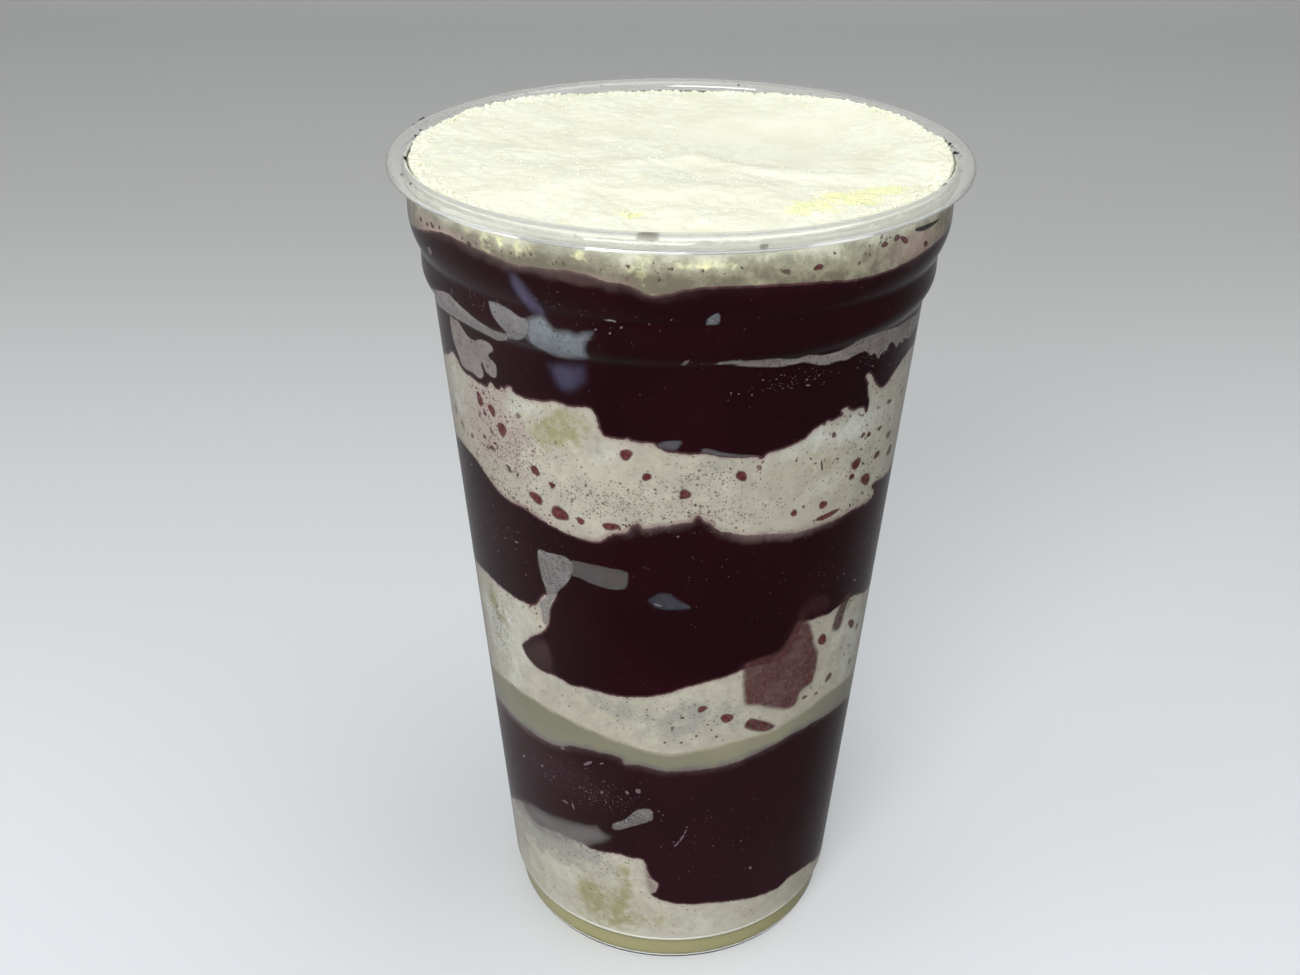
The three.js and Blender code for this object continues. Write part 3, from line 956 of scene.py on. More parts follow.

# Tints: soft blobs of (angle, height, half width in degrees, half height, strength). The pale and white blobs
# near the cup's left and right edges are painted light, and the açaí's veil blobs there are painted
# reflection.
BLOBS = {
    "milk_layer_1": {
        "pale": [(0, 15, 400, 400, 0.6)],
        "warm": [(-21, 12.5, 12, 7, 1), (-14, 21.9, 3, 5, 0.9), (-28, 15.9, 6, 4.5, 0.6),
                 (-4, 12.2, 5, 2.9, 0.5), (120, 11, 14, 3, 0.7), (-130, 11, 16, 4, 0.6)],
        "grey": [(-47, 24.2, 22, 4, 1), (-27, 26, 12, 2.6, 0.6), (-58, 17, 12, 8, 0.5),
                 (160, 22, 20, 3, 0.8)],
        "pin": [(-30, 25, 16, 4, 0.25), (170, 18, 30, 6, 0.2)],
        "white": [(-60, 21, 12, 8, 0.2), (66, 13, 10, 5, 0.4)],
    },
    "acai_layer_1": {"pink": [(-60, 50, 14, 4, 0.4), (-35, 46, 16, 5, 0.3), (45, 22, 22, 8, 0.18),
                              (0, 35, 400, 400, 0.22)],
                     "veil_and_sheen": [(-62, 50, 18, 12, 0.9), (0, 50, 400, 400, 0.22)]},
    "condensed_milk_ribbon": {"grey": [(-70, 52, 14, 4, 1), (58, 56, 16, 3, 0.9), (-45, 53.5, 26, 1.6, 0.5)]},
    "milk_layer_2": {
        "pale": [(-52, 73, 14, 10, 1), (60, 66, 12, 8, 0.6)],
        "warm": [(-59, 78.4, 6, 2.4, 1), (-57, 69.2, 5, 2.2, 0.7), (-55, 75.6, 5, 3.9, 0.5),
                 (-8, 64, 24, 3, 0.3), (110, 68, 12, 4, 0.8), (-140, 66, 14, 3, 0.7)],
        "grey": [(-42, 79, 9, 4, 0.4), (0, 66, 38, 8, 0.7)],
        "white": [(-54, 73, 14, 12, 1), (62, 70, 12, 8, 0.8)],
        "pin": [(-57, 74, 5, 6, 0.9), (5, 66, 30, 3, 0.2), (140, 66, 40, 5, 0.3)],
    },
    "milk_layer_3": {
        "white": [(-35, 124, 12, 1.8, 0.8), (-64, 119, 8, 6, 0.7), (50, 118, 16, 5, 0.8),
                  (-16, 119.5, 7, 2, 0.5), (35, 119, 14, 2, 0.6)],
        "warm": [(-25, 122.4, 6, 2.8, 1.3), (-30, 118.9, 4, 2.4, 1.1), (-33, 120.4, 2, 1.2, 0.5),
                 (-8, 118, 9, 2.6, 0.35), (30, 114, 18, 3.6, 0.35), (100, 114, 14, 3, 0.8),
                 (-120, 113, 12, 4, 0.7)],
        "pink": [(-48, 115, 20, 9, 0.75), (-45, 122.5, 9, 3.5, 0.8), (-8, 120.5, 7, 1.8, 0.5),
                 (46, 119, 10, 4, 0.4), (140, 112, 24, 6, 0.6)],
        "grey": [(-17, 120, 4, 3, 0.6), (10, 118, 10, 1.6, 0.5), (40, 121, 10, 1.8, 0.5)],
        "pin": [(-43, 114, 12, 8, 1), (-12, 110, 12, 3, 0.9), (8, 115, 8, 3, 0.7),
                (12, 108.5, 10, 2, 0.8), (48, 112, 12, 6, 0.3), (110, 112, 30, 7, 0.6),
                (-110, 112, 24, 7, 0.6), (170, 112, 30, 7, 0.5)],
    },
    "acai_layer_2": {"pink": [(64, 92, 14, 12, 0.35)],
                     "veil_and_sheen": [(24, 101, 15, 8, 1), (-4, 104, 7, 8, 0.6), (150, 103, 60, 8, 0.5)]},
    "acai_layer_3": {"pink": [(-28, 139, 10, 4, 0.25)],
                     "veil_and_sheen": [(-28, 149, 24, 8, 0.6), (58, 148, 10, 6, 0.3), (170, 148, 70, 8, 0.4)]},
}
LAYERS = [
    ("milk_layer_1", MILK, "milk_cream"),
    ("acai_layer_1", ACAI, "acai"),
    ("condensed_milk_ribbon", CONDENSED, "condensed_milk"),
    ("milk_layer_2", MILK, "milk_cream"),
    ("acai_layer_2", ACAI, "acai"),
    ("milk_layer_3", MILK, "milk_cream"),
    ("acai_layer_3", ACAI, "acai"),
]
for i, (name, material, slot) in enumerate(LAYERS):
    layer_piece(name, LINES[i], LINES[i + 1], CENTRES[i], CENTRES[i + 1], material,
                BLOBS.get(name, {}))


def base_outline():
    """The condensed milk's section: a pool on the floor that also fills the ring round it."""
    heights = np.arange(1.6, CONDENSED_LEVEL, 0.4)
    deep = CHANNEL_RADIUS - 0.1
    return [
        (0, FLOOR_TOP - 0.1), (deep, FLOOR_TOP - 0.1), (deep, WALL - 0.1),
        (FOOT_RADIUS - 1.2, WALL - 0.1), (FOOT_RADIUS - 0.6, 1.0),
        *[(float(food_radius(z)), z) for z in heights],
        (float(food_radius(CONDENSED_LEVEL)), CONDENSED_LEVEL), (0, CONDENSED_LEVEL),
    ]


points, faces = turned(base_outline(), 360)
far_off = [FAR_OFF] * len(points)
make_piece("condensed_milk_base", points, faces, CONDENSED, ["condensed_milk_base"],
           {"low": far_off, "high": far_off, "warm": [1.0] * len(points)})


# ---------------------------------------------------------------- smears on the wall

# Each smear: how much it covers, how cool its grey is, how soft its edge is, and its marks.
SMEARS = [
    (1.0, 0.1, 0.3, [
        (-64, 138.1), (-56, 139.7), (-53, 139.3), (-41.5, 136.9), (-37, 137), (-35.5, 137.5),
        (-36.5, 135.9), (-38, 135.1), (-41, 134.3), (-45, 134.7), (-54.5, 134.7), (-68.5, 133.4),
        (-77, 132), (-84, 131.5), (-84, 136)]),
    (0.8, 0.2, 0.3, [
        (-41, 141.7), (-38, 142), (-34, 141.2), (-32.5, 140.6), (-30.5, 140.7), (-30, 139.7),
        (-31, 137.5), (-32.5, 136.6), (-35, 136), (-36.5, 136), (-36.5, 136.9), (-37, 137.5),
        (-39.5, 138.9), (-40.5, 140.2)]),
    (0.92, 0.6, 1.3, [
        (-31, 141), (-27.5, 142.2), (-26, 141.8), (-24.6, 140.4), (-23, 140.2), (-21.5, 140.5),
        (-19.5, 140.1), (-18, 140.7), (-15.6, 140.9), (-15.6, 140), (-16.2, 139.1), (-17.1, 138.5),
        (-17.5, 137.1), (-16.5, 135.3), (-22.5, 134.3), (-25.5, 134.3), (-29.5, 135.4), (-31, 136),
        (-32, 137.1)]),
    (0.95, 0.0, 0.3, [
        (-61, 134.2), (-59, 134.1), (-56, 134.5), (-53, 132.9), (-51.5, 132.6), (-49.5, 132.6),
        (-47.5, 133.4), (-45.5, 133.6), (-43.5, 133.4), (-42.5, 132.6), (-43, 131.8), (-44.5, 131.3),
        (-44.5, 130.7), (-43, 130.4), (-42, 129.8), (-42.5, 127.5), (-44, 127), (-46, 127.3),
        (-47, 127.7), (-47.5, 128.8), (-48, 128.5), (-47, 126.8), (-48.5, 125.7), (-50.5, 125.5),
        (-52, 125.9), (-56.5, 125.4), (-58, 126.1), (-59, 127.7), (-60.5, 129), (-61.5, 130.4)]),
    (0.85, 0.0, 0.2, [
        (-14, 142.8), (-12, 143.1), (-11, 142.4), (-13.5, 142.4)]),
    (0.7, 0.1, 0.3, [
        (1, 135.8), (1.5, 136.5), (2.5, 136.9), (3, 136.7), (2.5, 135.8), (1.5, 135.3)]),
    (0.75, 0.5, 0.35, [
        (5.5, 142.4), (5.5, 143.6), (6.5, 144.5), (7.5, 144.8), (8.2, 144.6), (8.5, 142.3)]),
    (0.88, 0.0, 0.3, [
        (7.5, 135.7), (8.5, 136.3), (11.5, 136.5), (15, 136.1), (20, 136.1), (25, 135.1), (27, 135.5),
        (29, 135.5), (31.5, 134.7), (34, 134.6), (37, 134.7), (39.5, 135.2), (40.5, 136), (46.5, 136),
        (57, 134.4), (62, 134.3), (80, 131.8), (86, 131.3), (80, 129.6), (70, 130.4), (68, 129.5),
        (64.5, 129.8), (62.5, 130.9), (61, 129.8), (59, 130.9), (58, 129.8), (55, 132), (53.5, 131.7),
        (53, 130.5), (51, 131.2), (50, 129.7), (48, 131.7), (46.5, 131.3), (45, 132.6), (42.5, 132.9),
        (38.5, 132.2), (36.5, 132.7), (32.5, 132.4), (28, 133.8), (26, 134), (22, 133.7), (13, 134.8),
        (11, 135.5), (9, 135.4)]),
    (0.42, 0.5, 0.6, [
        (-4, 121.5), (-3, 122.1), (-1, 122.4), (2.5, 122.4), (0.5, 120.2), (-0.5, 120.1), (-3, 120.6),
        (-4, 120.9)]),
    (0.42, 0.4, 0.5, [
        (5.5, 119.9), (5.5, 120.8), (7, 121), (11.5, 119.8), (18.5, 118.9), (18, 118.3), (13.5, 118.5)]),
    (0.76, 0.15, 0.3, [
        (-35.5, 96.3), (-34.5, 97), (-32, 96.8), (-28, 97.3), (-26, 97.1), (-25.5, 96.6),
        (-24.5, 96.4), (-25, 93.7), (-27, 91.2), (-30, 88.9), (-30, 88.1), (-32.5, 85.8),
        (-33.5, 82.2), (-34.5, 80.4), (-36, 80.7), (-36, 82.9), (-37, 85), (-34, 87.1), (-33.5, 87.9),
        (-35.5, 92.6)]),
    (0.34, 0.15, 0.3, [
        (-25.5, 96.8), (-22, 97.1), (-11, 96.8), (-10.5, 96.5), (-10.5, 93.2), (-14, 92.2),
        (-20.5, 92.7), (-23.5, 93.5), (-26, 93.2)]),
    (0.2, 0.9, 0.6, [
        (-6.5, 91.3), (-3, 93.1), (-1.5, 93.1), (0, 92.8), (1, 91.9), (5.5, 89.8), (4.5, 89.2),
        (-4, 89)]),
    (0.7, 0.15, 0.4, [
        (-18, 36.3), (-17.5, 37.4), (-13.5, 38.9), (-10.5, 41.7), (-9, 42.5), (-7, 42.8), (-5, 42.5),
        (-4.5, 41.5), (-4.5, 40.2), (-5.5, 39.1), (-9.5, 37.9), (-16, 35.4), (-17.5, 35.6)]),
    (0.62, 0.15, 2.2, [
        (-72, 24.5), (-67.5, 26.8), (-58.5, 29.3), (-52.5, 31.6), (-49, 32.2), (-42, 32.9),
        (-28.5, 35.2), (-26.5, 35), (-22.5, 36.4), (-21.5, 36.1), (-21, 34.9), (-18, 34.2),
        (-17, 33.5), (-18, 32), (-26, 28.2), (-28, 26.8), (-37.5, 25.8), (-44.5, 24.2), (-49, 23.6),
        (-58.5, 24.6), (-66, 22.5)]),
]
MAUVE_FILMS = [
    (0.5, 0.9, 1.4, [
        (-33.5, 148.6), (-31.5, 148.7), (-29.4, 147.6), (-27.9, 146.3), (-25.9, 143.7), (-25.2, 141.8),
        (-27.5, 140.6), (-30, 141.2), (-31.6, 143), (-33.4, 146)]),
    (0.42, 1.0, 2.4, [
        (-28.5, 133.6), (-22, 134.8), (-18.4, 134.9), (-17.6, 133.4), (-17.6, 132), (-18.2, 130.6),
        (-20.1, 129.1), (-22.5, 128.1), (-25, 128.2), (-26.9, 129.4), (-27.5, 130.9), (-28.5, 132)]),
    (0.5, 0.0, 1.0, [
        (-9, 29.1), (-7.5, 28.4), (-4.5, 23.4), (-2.5, 22.1), (-3, 20.7), (-4, 19.5), (-6, 19),
        (-7.5, 20.3), (-7.5, 22.6)]),
    (0.2, 0.0, 2.0, [
        (-46, 72.8), (-40, 77), (-36, 78), (-33, 76), (-32, 72), (-33, 69), (-38, 68.6), (-42, 69.4),
        (-45, 70.6)]),
    (0.3, 0.0, 0.8, [
        (-22.5, 149.9), (-14.5, 149.2), (-13, 148.4), (-14.5, 147.8), (-17, 147.6), (-20.5, 147.8),
        (-22.5, 148.7)]),
]

for name, films, material, slot, first_seed, lift in (
    ("wall_smears", SMEARS, SMEAR, "milk_cream", 30, 0.06),
    ("mauve_films", MAUVE_FILMS, MAUVE, "acai", 60, 0.05),
):
    batch = Batch("cover", "hue")
    for seed, (cover, hue, soft, marks) in enumerate(films, first_seed):
        add_patch(batch, marks, cover, hue, soft, seed, lift)
    batch.piece(name, material, slot)


# ---------------------------------------------------------------- drops, pits and specks

# (angle, height, half length, half width, tilt in degrees, cover)
ACAI_DROPS = [
    (-50.5, 121.6, 1.3, 1, -75, 1), (-46, 120.8, 1.1, 1, -70, 1), (-43, 118, 1.5, 1.1, -80, 1),
    (-33.5, 112.6, 1, 0.9, -65, 1), (-29, 110.8, 0.6, 0.6, 5, 1), (-34, 107.2, 1.5, 1.1, -20, 1),
    (-27.5, 105.6, 1.7, 1.5, -30, 1), (-22, 105.2, 0.8, 0.7, -10, 1), (-14.5, 105.2, 1.6, 0.8, 0, 1),
    (-49, 119.6, 0.7, 0.6, -55, 0.6), (-51.5, 118.4, 0.7, 0.5, 60, 0.5),
    (-10.5, 119.2, 1.1, 1.1, 20, 1), (-6, 115.4, 0.8, 0.8, 70, 1), (2.5, 112.4, 1.1, 0.9, -80, 1),
    (15, 115.2, 1.1, 0.9, -60, 1), (19, 116.4, 0.6, 0.5, -55, 0.6), (29, 106.2, 0.8, 0.6, -45, 1),
    (37.5, 106, 1, 0.8, -40, 1), (38, 119.2, 0.7, 0.5, -40, 0.8), (35.5, 114, 1.2, 0.2, -75, 0.9),
    (39.5, 103.4, 3, 0.6, 0, 1), (46.5, 109.2, 0.8, 0.6, -35, 1), (47.5, 111.4, 1.4, 1.1, -25, 1),
    (53, 106.8, 1.8, 1.2, -35, 1), (57, 110.4, 1.1, 0.8, -10, 1), (48.5, 116.6, 0.6, 0.6, -10, 0.8),
    (51, 116, 0.6, 0.5, -5, 1), (56, 115.8, 0.8, 0.5, -10, 0.8), (8.5, 67.2, 0.9, 0.8, 25, 0.9),
    (15.5, 64.4, 1.3, 1.1, 10, 1), (44.5, 75.6, 1.7, 1, -45, 1), (59.5, 73.8, 2, 0.9, -40, 0.9),
    (65, 71, 1, 0.7, -30, 0.6), (40.5, 63.6, 0.8, 0.5, -25, 0.7), (45.5, 62.8, 0.7, 0.4, -30, 0.6),
    (42, 151.6, 0.7, 0.5, -5, 1), (45.5, 152, 0.8, 0.5, 0, 1), (48, 151.2, 1.3, 0.5, -30, 1),
    (26.5, 150.4, 0.8, 0.5, 10, 1), (56.5, 148.8, 0.9, 0.5, -10, 0.9),
]
# Small pits in the food at the wall, dark with painted shade, in the same columns.
SHADED_PITS = [
    (-48, 113.2, 0.8, 0.5, 30, 1), (-42, 110.8, 0.8, 0.5, -55, 1), (-37, 122, 0.7, 0.5, 40, 0.6),
    (-50.5, 114.6, 0.6, 0.5, 30, 0.8), (-57, 112.8, 0.7, 0.6, 25, 0.8),
    (-47, 116.4, 0.6, 0.4, -45, 0.8), (-45.5, 114, 0.7, 0.3, 85, 0.7), (-67.5, 114.6, 1.4, 1, 45, 0.6),
    (-63, 113.2, 1, 0.8, -5, 0.6), (32, 116, 0.4, 0.2, -40, 1.2), (33.5, 114.8, 0.3, 0.2, -40, 1.2),
    (50.5, 110.6, 0.6, 0.2, -35, 1), (62.5, 112.6, 1.2, 0.8, 0, 0.8), (66, 108.4, 1.7, 1, -15, 1),
    (59, 120, 1.1, 0.5, -20, 0.9), (53.5, 120.4, 0.7, 0.3, -15, 0.6), (68, 119.2, 1, 0.7, -20, 0.6),
    (52.5, 104.2, 0.7, 0.3, -35, 0.7), (50.5, 64.8, 1.3, 0.9, 15, 0.9), (64, 63.2, 1.2, 0.6, -35, 0.6),
    (58, 67.2, 0.9, 0.2, -50, 0.6), (60.5, 68.4, 1.2, 0.2, -40, 0.5), (-62, 150.4, 0.7, 0.4, 5, 1),
    (-58.5, 150.4, 0.6, 0.3, 15, 1), (-56, 150.8, 0.8, 0.4, -10, 1), (-43, 150.6, 0.6, 0.4, -10, 1),
    (20, 150.4, 0.9, 0.4, -15, 0.8),
]
SPECKS = [
    (-59, 146, 0.96, 0.69, 30), (29, 129.8, 0.46, 0.17, -15), (56.5, 84.6, 0.8, 0.2, -20),
    (-42.5, 96, 0.5, 0.25, 10), (-60.5, 106, 0.5, 0.18, 30), (-37, 79.6, 0.48, 0.3, 45),
    (-33, 52.4, 0.5, 0.4, 35), (-24.5, 51, 1.3, 0.35, 40), (-52, 43.2, 0.8, 0.3, 40),
    (-42.5, 44.6, 0.5, 0.3, 45), (-20.5, 44.6, 0.43, 0.32, 70), (-12.5, 46, 0.51, 0.36, -65),
    (-9, 46.8, 0.61, 0.4, -85), (-34, 38.4, 0.82, 0.3, -5), (-31, 38.2, 0.93, 0.24, -80),
    (27.5, 23.6, 0.5, 0.3, -60), (2.5, 33.6, 1, 0.2, 60), (4, 35.2, 1.1, 0.24, 65),
    (5, 36.8, 0.63, 0.14, 70), (-3.5, 90.2, 0.67, 0.14, -15), (-20, 52, 0.5, 0.18, 35),
    (-9.5, 46.8, 0.58, 0.3, -85),
]
# Swarms of fine specks: (angle, height, half width in degrees, half height, how many).
SWARMS = [
    (24, 131, 9, 1.6, 48), (48, 131.5, 6, 2, 40), (-18, 43.5, 9, 4, 80), (-33, 44, 18, 6, 80),
    (-45, 141, 18, 4, 60), (-20, 143, 12, 4, 24), (-45, 96, 16, 5, 60), (0, 138, 30, 6, 12),
    (0, 105, 14, 1, 26), (20, 88, 30, 8, 14), (-10, 96, 24, 6, 12), (10, 34, 34, 12, 50),
    (-8, 129, 16, 3, 8), (48, 90, 14, 8, 30), (62, 128, 8, 4, 20), (120, 140, 50, 6, 120),
    (-120, 140, 50, 6, 120), (130, 92, 50, 9, 120), (-130, 92, 50, 9, 120), (130, 36, 60, 10, 110),
    (-130, 38, 60, 8, 110), (180, 134, 40, 8, 60), (180, 90, 40, 8, 60),
]
FILM = [
    (18.5, 76.6), (21, 77.2), (27, 77.4), (29.5, 77.8), (31, 79), (33, 82.2), (34.5, 83.4), (37, 83.2),
    (38.8, 81.6), (40.2, 79.8), (41.2, 78.1), (41.7, 76.2), (43.5, 74.4), (44.5, 72.3), (44, 66.9),
    (43.5, 65.7), (39, 65.4), (38.5, 64.4), (38.5, 63), (37, 62.2), (35, 62.1), (32.5, 62.4),
    (24, 65.6), (20.5, 66.1), (19.5, 67.7), (18.5, 72.4),
]
STAIN_VEIL = [
    (20, 76), (26, 77.5), (30, 79.5), (35, 86.5), (39, 87.5), (44, 86.5), (47, 84), (46, 81.5),
    (36, 82.5), (34.5, 79), (32.5, 76.5), (29, 75.5), (24, 75),
]
NOTCH = [
    (47.8, 77), (48.5, 75.6), (51, 74.9), (53.6, 75.4), (54, 78), (55, 80), (57, 82.5), (53, 83.5),
    (50, 81.8), (48.5, 79.5),
]
BIG_DROP = [
    (20.5, 62.2), (21.5, 63.2), (23, 63.6), (31.5, 60), (31, 59.2), (29, 58.6), (27, 58.7),
    (22.5, 60.1), (20.5, 61.2),
]
WEDGE = [
    (51.5, 152.3), (63.5, 151.5), (61, 151.2), (55.5, 151.1), (51.5, 151.8),
]
# Bands of drops on the far side: (middle height, spread).
FAR_BANDS = [(114, 6), (67, 5)]
# Swarms of small drops: (angle, height, half width in degrees, half height, how many).
SMALL_DROPS = [
    (-44, 116, 9, 5, 70), (-50, 112, 8, 4, 30), (52, 114, 8, 5, 40), (-20, 110, 14, 3, 24),
    (10, 113, 20, 5, 24), (56, 69, 8, 4, 20), (-57, 74, 4, 4, 30), (6, 65, 20, 3, 12),
    (-8, 111, 16, 3, 24), (3, 62, 12, 3, 12), (-44, 150.9, 16, 0.6, 12), (-8, 151.2, 18, 1.2, 22),
    (40, 152, 12, 1.6, 16),
]
# Droplets along the milk's borders: (border, side, angle, half width in degrees, how many).
BORDER_DROPS = [
    (5, 1, -46, 16, 90), (5, 1, 0, 14, 36), (5, 1, 52, 14, 50), (6, -1, -50, 10, 40),
    (6, -1, 45, 14, 40), (1, -1, -20, 40, 24), (4, -1, 58, 12, 26), (4, -1, -50, 14, 20),
    (5, 1, 180, 90, 150), (6, -1, 180, 90, 90),
]

random.seed(7)
drops = Batch("cover", "hue")
stains = Batch("cover", "hue")
add_patch(stains, FILM, 0.92, 0.0, 1.1, seed=80, lift=0.05, rough=0.4)
add_patch(stains, BIG_DROP, 1.0, 0.4, 0.6, seed=81)
add_patch(stains, STAIN_VEIL, 0.25, 0.0, 1.6, seed=82, lift=0.04)
add_patch(stains, NOTCH, 0.85, 1.0, 0.9, seed=83, rough=0.4)
stains.piece("acai_stains", STAIN, "acai")
for angle, height, long, short, tilt, cover in ACAI_DROPS:
    add_drop(drops, angle, height, long, short, tilt, cover, 0.0)
# Pits take the other colour, a painted shade.
for angle, height, long, short, tilt, cover in SHADED_PITS:
    add_drop(drops, angle, height, long, short, tilt, min(cover, 1) * 0.85, 1.0)


def scatter_drop(angle, height, size, lean, covers, other_share):
    """A small drop of random shape. This share of them have the material's other colour, the painted shade of
    a pit.
    """
    short = size * random.uniform(0.6, 1)
    tilt = random.uniform(-lean, lean)
    cover = random.uniform(*covers)
    other = other_share > 0 and random.random() < other_share
    add_drop(drops, angle, height, size, short, tilt, cover, float(other))


for middle, spread in FAR_BANDS:
    for _ in range(70):
        angle = wrapped(random.uniform(75, 285))
        size = random.uniform(0.25, 1.3) ** 1.5
        scatter_drop(angle, random.gauss(middle, spread * 0.5), size, 90, (0.6, 1), 0.4)
for middle, height, wide, tall, count in SMALL_DROPS:
    for _ in range(count):
        size = random.uniform(0.12, 0.5) ** 1.3
        angle = middle + random.gauss(0, 0.6) * wide
        scatter_drop(angle, height + random.gauss(0, 0.6) * tall, size, 90, (0.3, 0.85), 0.5)
for border, side, middle, wide, count in BORDER_DROPS:
    line = LINES[border]
    for _ in range(count):
        angle = wrapped(middle + random.gauss(0, 0.6) * wide)
        level = np.interp(math.radians(angle) * UNROLL_RADIUS, line[:, 0], line[:, 1])
        size = random.uniform(0.1, 0.42) ** 1.3
        scatter_drop(angle, level + side * random.uniform(0.2, 2.2), size, 60, (0.5, 0.95), 0)
drops.piece("acai_drops_and_pit_shade", DROP_AND_PIT_SHADE, "acai")

SPECK_SIDES = 6
specks = Batch()


def add_speck(angle, height, long, short, tilt):
    """A small raised crumb on the wall."""
    turn = np.linspace(0, 2 * math.pi, SPECK_SIDES, endpoint=False) + random.uniform(0, 1)
    sideways, up = leaning(long * np.cos(turn), short * np.sin(turn), tilt)
    ring = on_wall(angle + np.degrees(sideways / float(food_radius(height))), height + up, 0.02)
    front = on_wall(np.array([angle]), np.array([height]), 0.09)
    back = on_wall(np.array([angle]), np.array([height]), -0.08)
    faces = []
    for i in range(SPECK_SIDES):
        j = (i + 1) % SPECK_SIDES
        faces += [(i, j, SPECK_SIDES), (j, i, SPECK_SIDES + 1)]
    specks.add(np.vstack([ring, front, back]).tolist(), faces)


for mark in SPECKS:
    add_speck(*mark)
for angle, height, wide, tall, count in SWARMS:
    for _ in range(count * 3 // 2):
        size = random.choice((1, 1, 1, 1, 1, 1, 2)) * random.uniform(0.035, 0.09)
        add_speck(angle + random.gauss(0, 0.6) * wide, height + random.gauss(0, 0.5) * tall,
                  size * random.uniform(1, 1.8), size, random.uniform(20, 80))
specks.piece("wall_specks", SPECK, "milk_cream")


# ---------------------------------------------------------------- the powder

# How many steps the powder's top has each way.
POWDER_GRID = 250
# How moist the powder is behind the wall: (height, 0 dry to 1 wet).
POWDER_MOISTURE = [
    (147, 1.15), (148, 1.1), (149.8, 1.01), (150.4, 0.95), (151.5, 0.81), (152.3, 0.7), (153.3, 0.45),
    (154.4, 0.1), (155.2, 0),
]
MOIST_HEIGHTS, MOIST_VALUES = np.array(POWDER_MOISTURE, float).T
# The powder's height round its edge: (angle, height).
POWDER_LEVELS = [
    (-180, 155.3), (-160, 155.5), (-140, 156.1), (-125, 156.5), (-110, 156.7), (-80, 156.4),
    (-60, 155.8), (-30, 155.5), (0, 155.4), (30, 155.6), (60, 156), (80, 156.8), (110, 157.1),
    (132, 157.1), (145, 156.6), (160, 155.7), (180, 155.3),
]
LEVEL_ANGLES, LEVEL_HEIGHTS = np.array(POWDER_LEVELS, float).T
# Places on the powder's top: (x, y, half width, half depth).
HOLLOW = (17, 12, 20, 15)
POWDER_CRUMBS = [(26.5, -25.5, 6, 3.6), (20, -31, 4, 3), (32, -21, 3.4, 3), (-7, -34, 2.2, 1.6)]
# The rows from the powder's top to the layer below: (share of the way out, share of the way down).
POWDER_ROWS = [
    (0.3, 0), (0.6, 0), (0.85, 0), (1, 0), (1, 0.15), (1, 0.3), (1, 0.45), (1, 0.6), (1, 0.8), (1, 1),
]
# Patches on the powder behind the wall: (angle, height, half width in degrees, half height, strength).
BAND_BRIGHT = [
    (-34, 152.8, 7, 1.5, 1), (-17, 152.5, 3, 1, 1), (-7, 152.3, 2, 1.5, 0.8), (3, 152.2, 6, 1, 1),
    (21, 153.2, 5, 0.9, 0.8), (100, 152, 20, 1.5, 0.8),
]
BAND_BLOOM = [(4, 152.2, 14, 2.2, 0.08), (40, 149, 20, 3, 0.16), (50, 153.4, 18, 1.9, 0.24)]
BAND_DAMP = [(-38, 150, 28, 3, 0.24), (8, 149.5, 8, 1.5, 0.08)]
BAND_PINK = [(-54, 150.1, 12, 1.7, 1), (54, 149.8, 9, 2.4, 1), (-17, 149, 8, 1, 0.6), (55, 154, 4, 0.8, 1)]


def ring_noise(turn, seed, scale):
    """Noise that closes on itself round the cup."""
    return noise.noise(Vector((math.sin(turn), math.cos(turn), seed)) * scale)


def bump_at(x, y, cx, cy, wide, deep):
    """A round bump, 1 at its middle."""
    return math.exp(-((x - cx) / wide) ** 2 - ((y - cy) / deep) ** 2)


def powder_height(x, y):
    """The powder's top in millimetres, with its hollow, ridge, lumps and ragged edge."""
    reach = math.hypot(x, y)
    angle = math.degrees(math.atan2(x, -y))
    level = np.interp(angle, LEVEL_ANGLES, LEVEL_HEIGHTS)
    level = 155.4 + (level - 155.4) * min(reach / 44, 1) ** 3
    hollow = bump_at(x, y, *HOLLOW)
    level -= 1.5 * hollow
    level += 1.0 * bump_at(x, y, -20, -14, 16, 12) + 0.9 * bump_at(x, y, 4, -24, 20, 9)
    # The ridge in front of the hollow, from the middle out to the right.
    along = np.interp(x, [-10, 3, 10, 22, 34], [-8, -1, -7, -13, -12])
    ridge = math.exp(-((y - along + 1) / 3.2) ** 2) * smooth(x, -14, 0) * smooth(34 - x, 0, 14)
    level += 0.8 * float(ridge)
    coarse = 1 - 0.85 * min(hollow * 1.3, 1)
    level += coarse * 0.5 * noise.noise(Vector((x, y, 3)) * 0.13)
    level += coarse * 0.16 * noise.noise(Vector((x, y, 7)) * 0.42)
    level += coarse * 0.07 * noise.noise(Vector((x, y, 4)) * 0.9)
    rough = 0.025 + 0.4 * float(smooth(reach, 40, 45))
    rough += 0.05 * bump_at(x, y, -3, -27, 14, 7) + 0.04 * bump_at(x, y, -26, -6, 10, 12)
    for cx, cy, wide, deep in POWDER_CRUMBS:
        rough += 0.25 * bump_at(x, y, cx, cy, wide, deep)
    level += rough * coarse * noise.fractal(Vector((x, y, 1)) * 1.1, 0.7, 2.2, 4)
    return min(level, CUP_HEIGHT - 0.15)


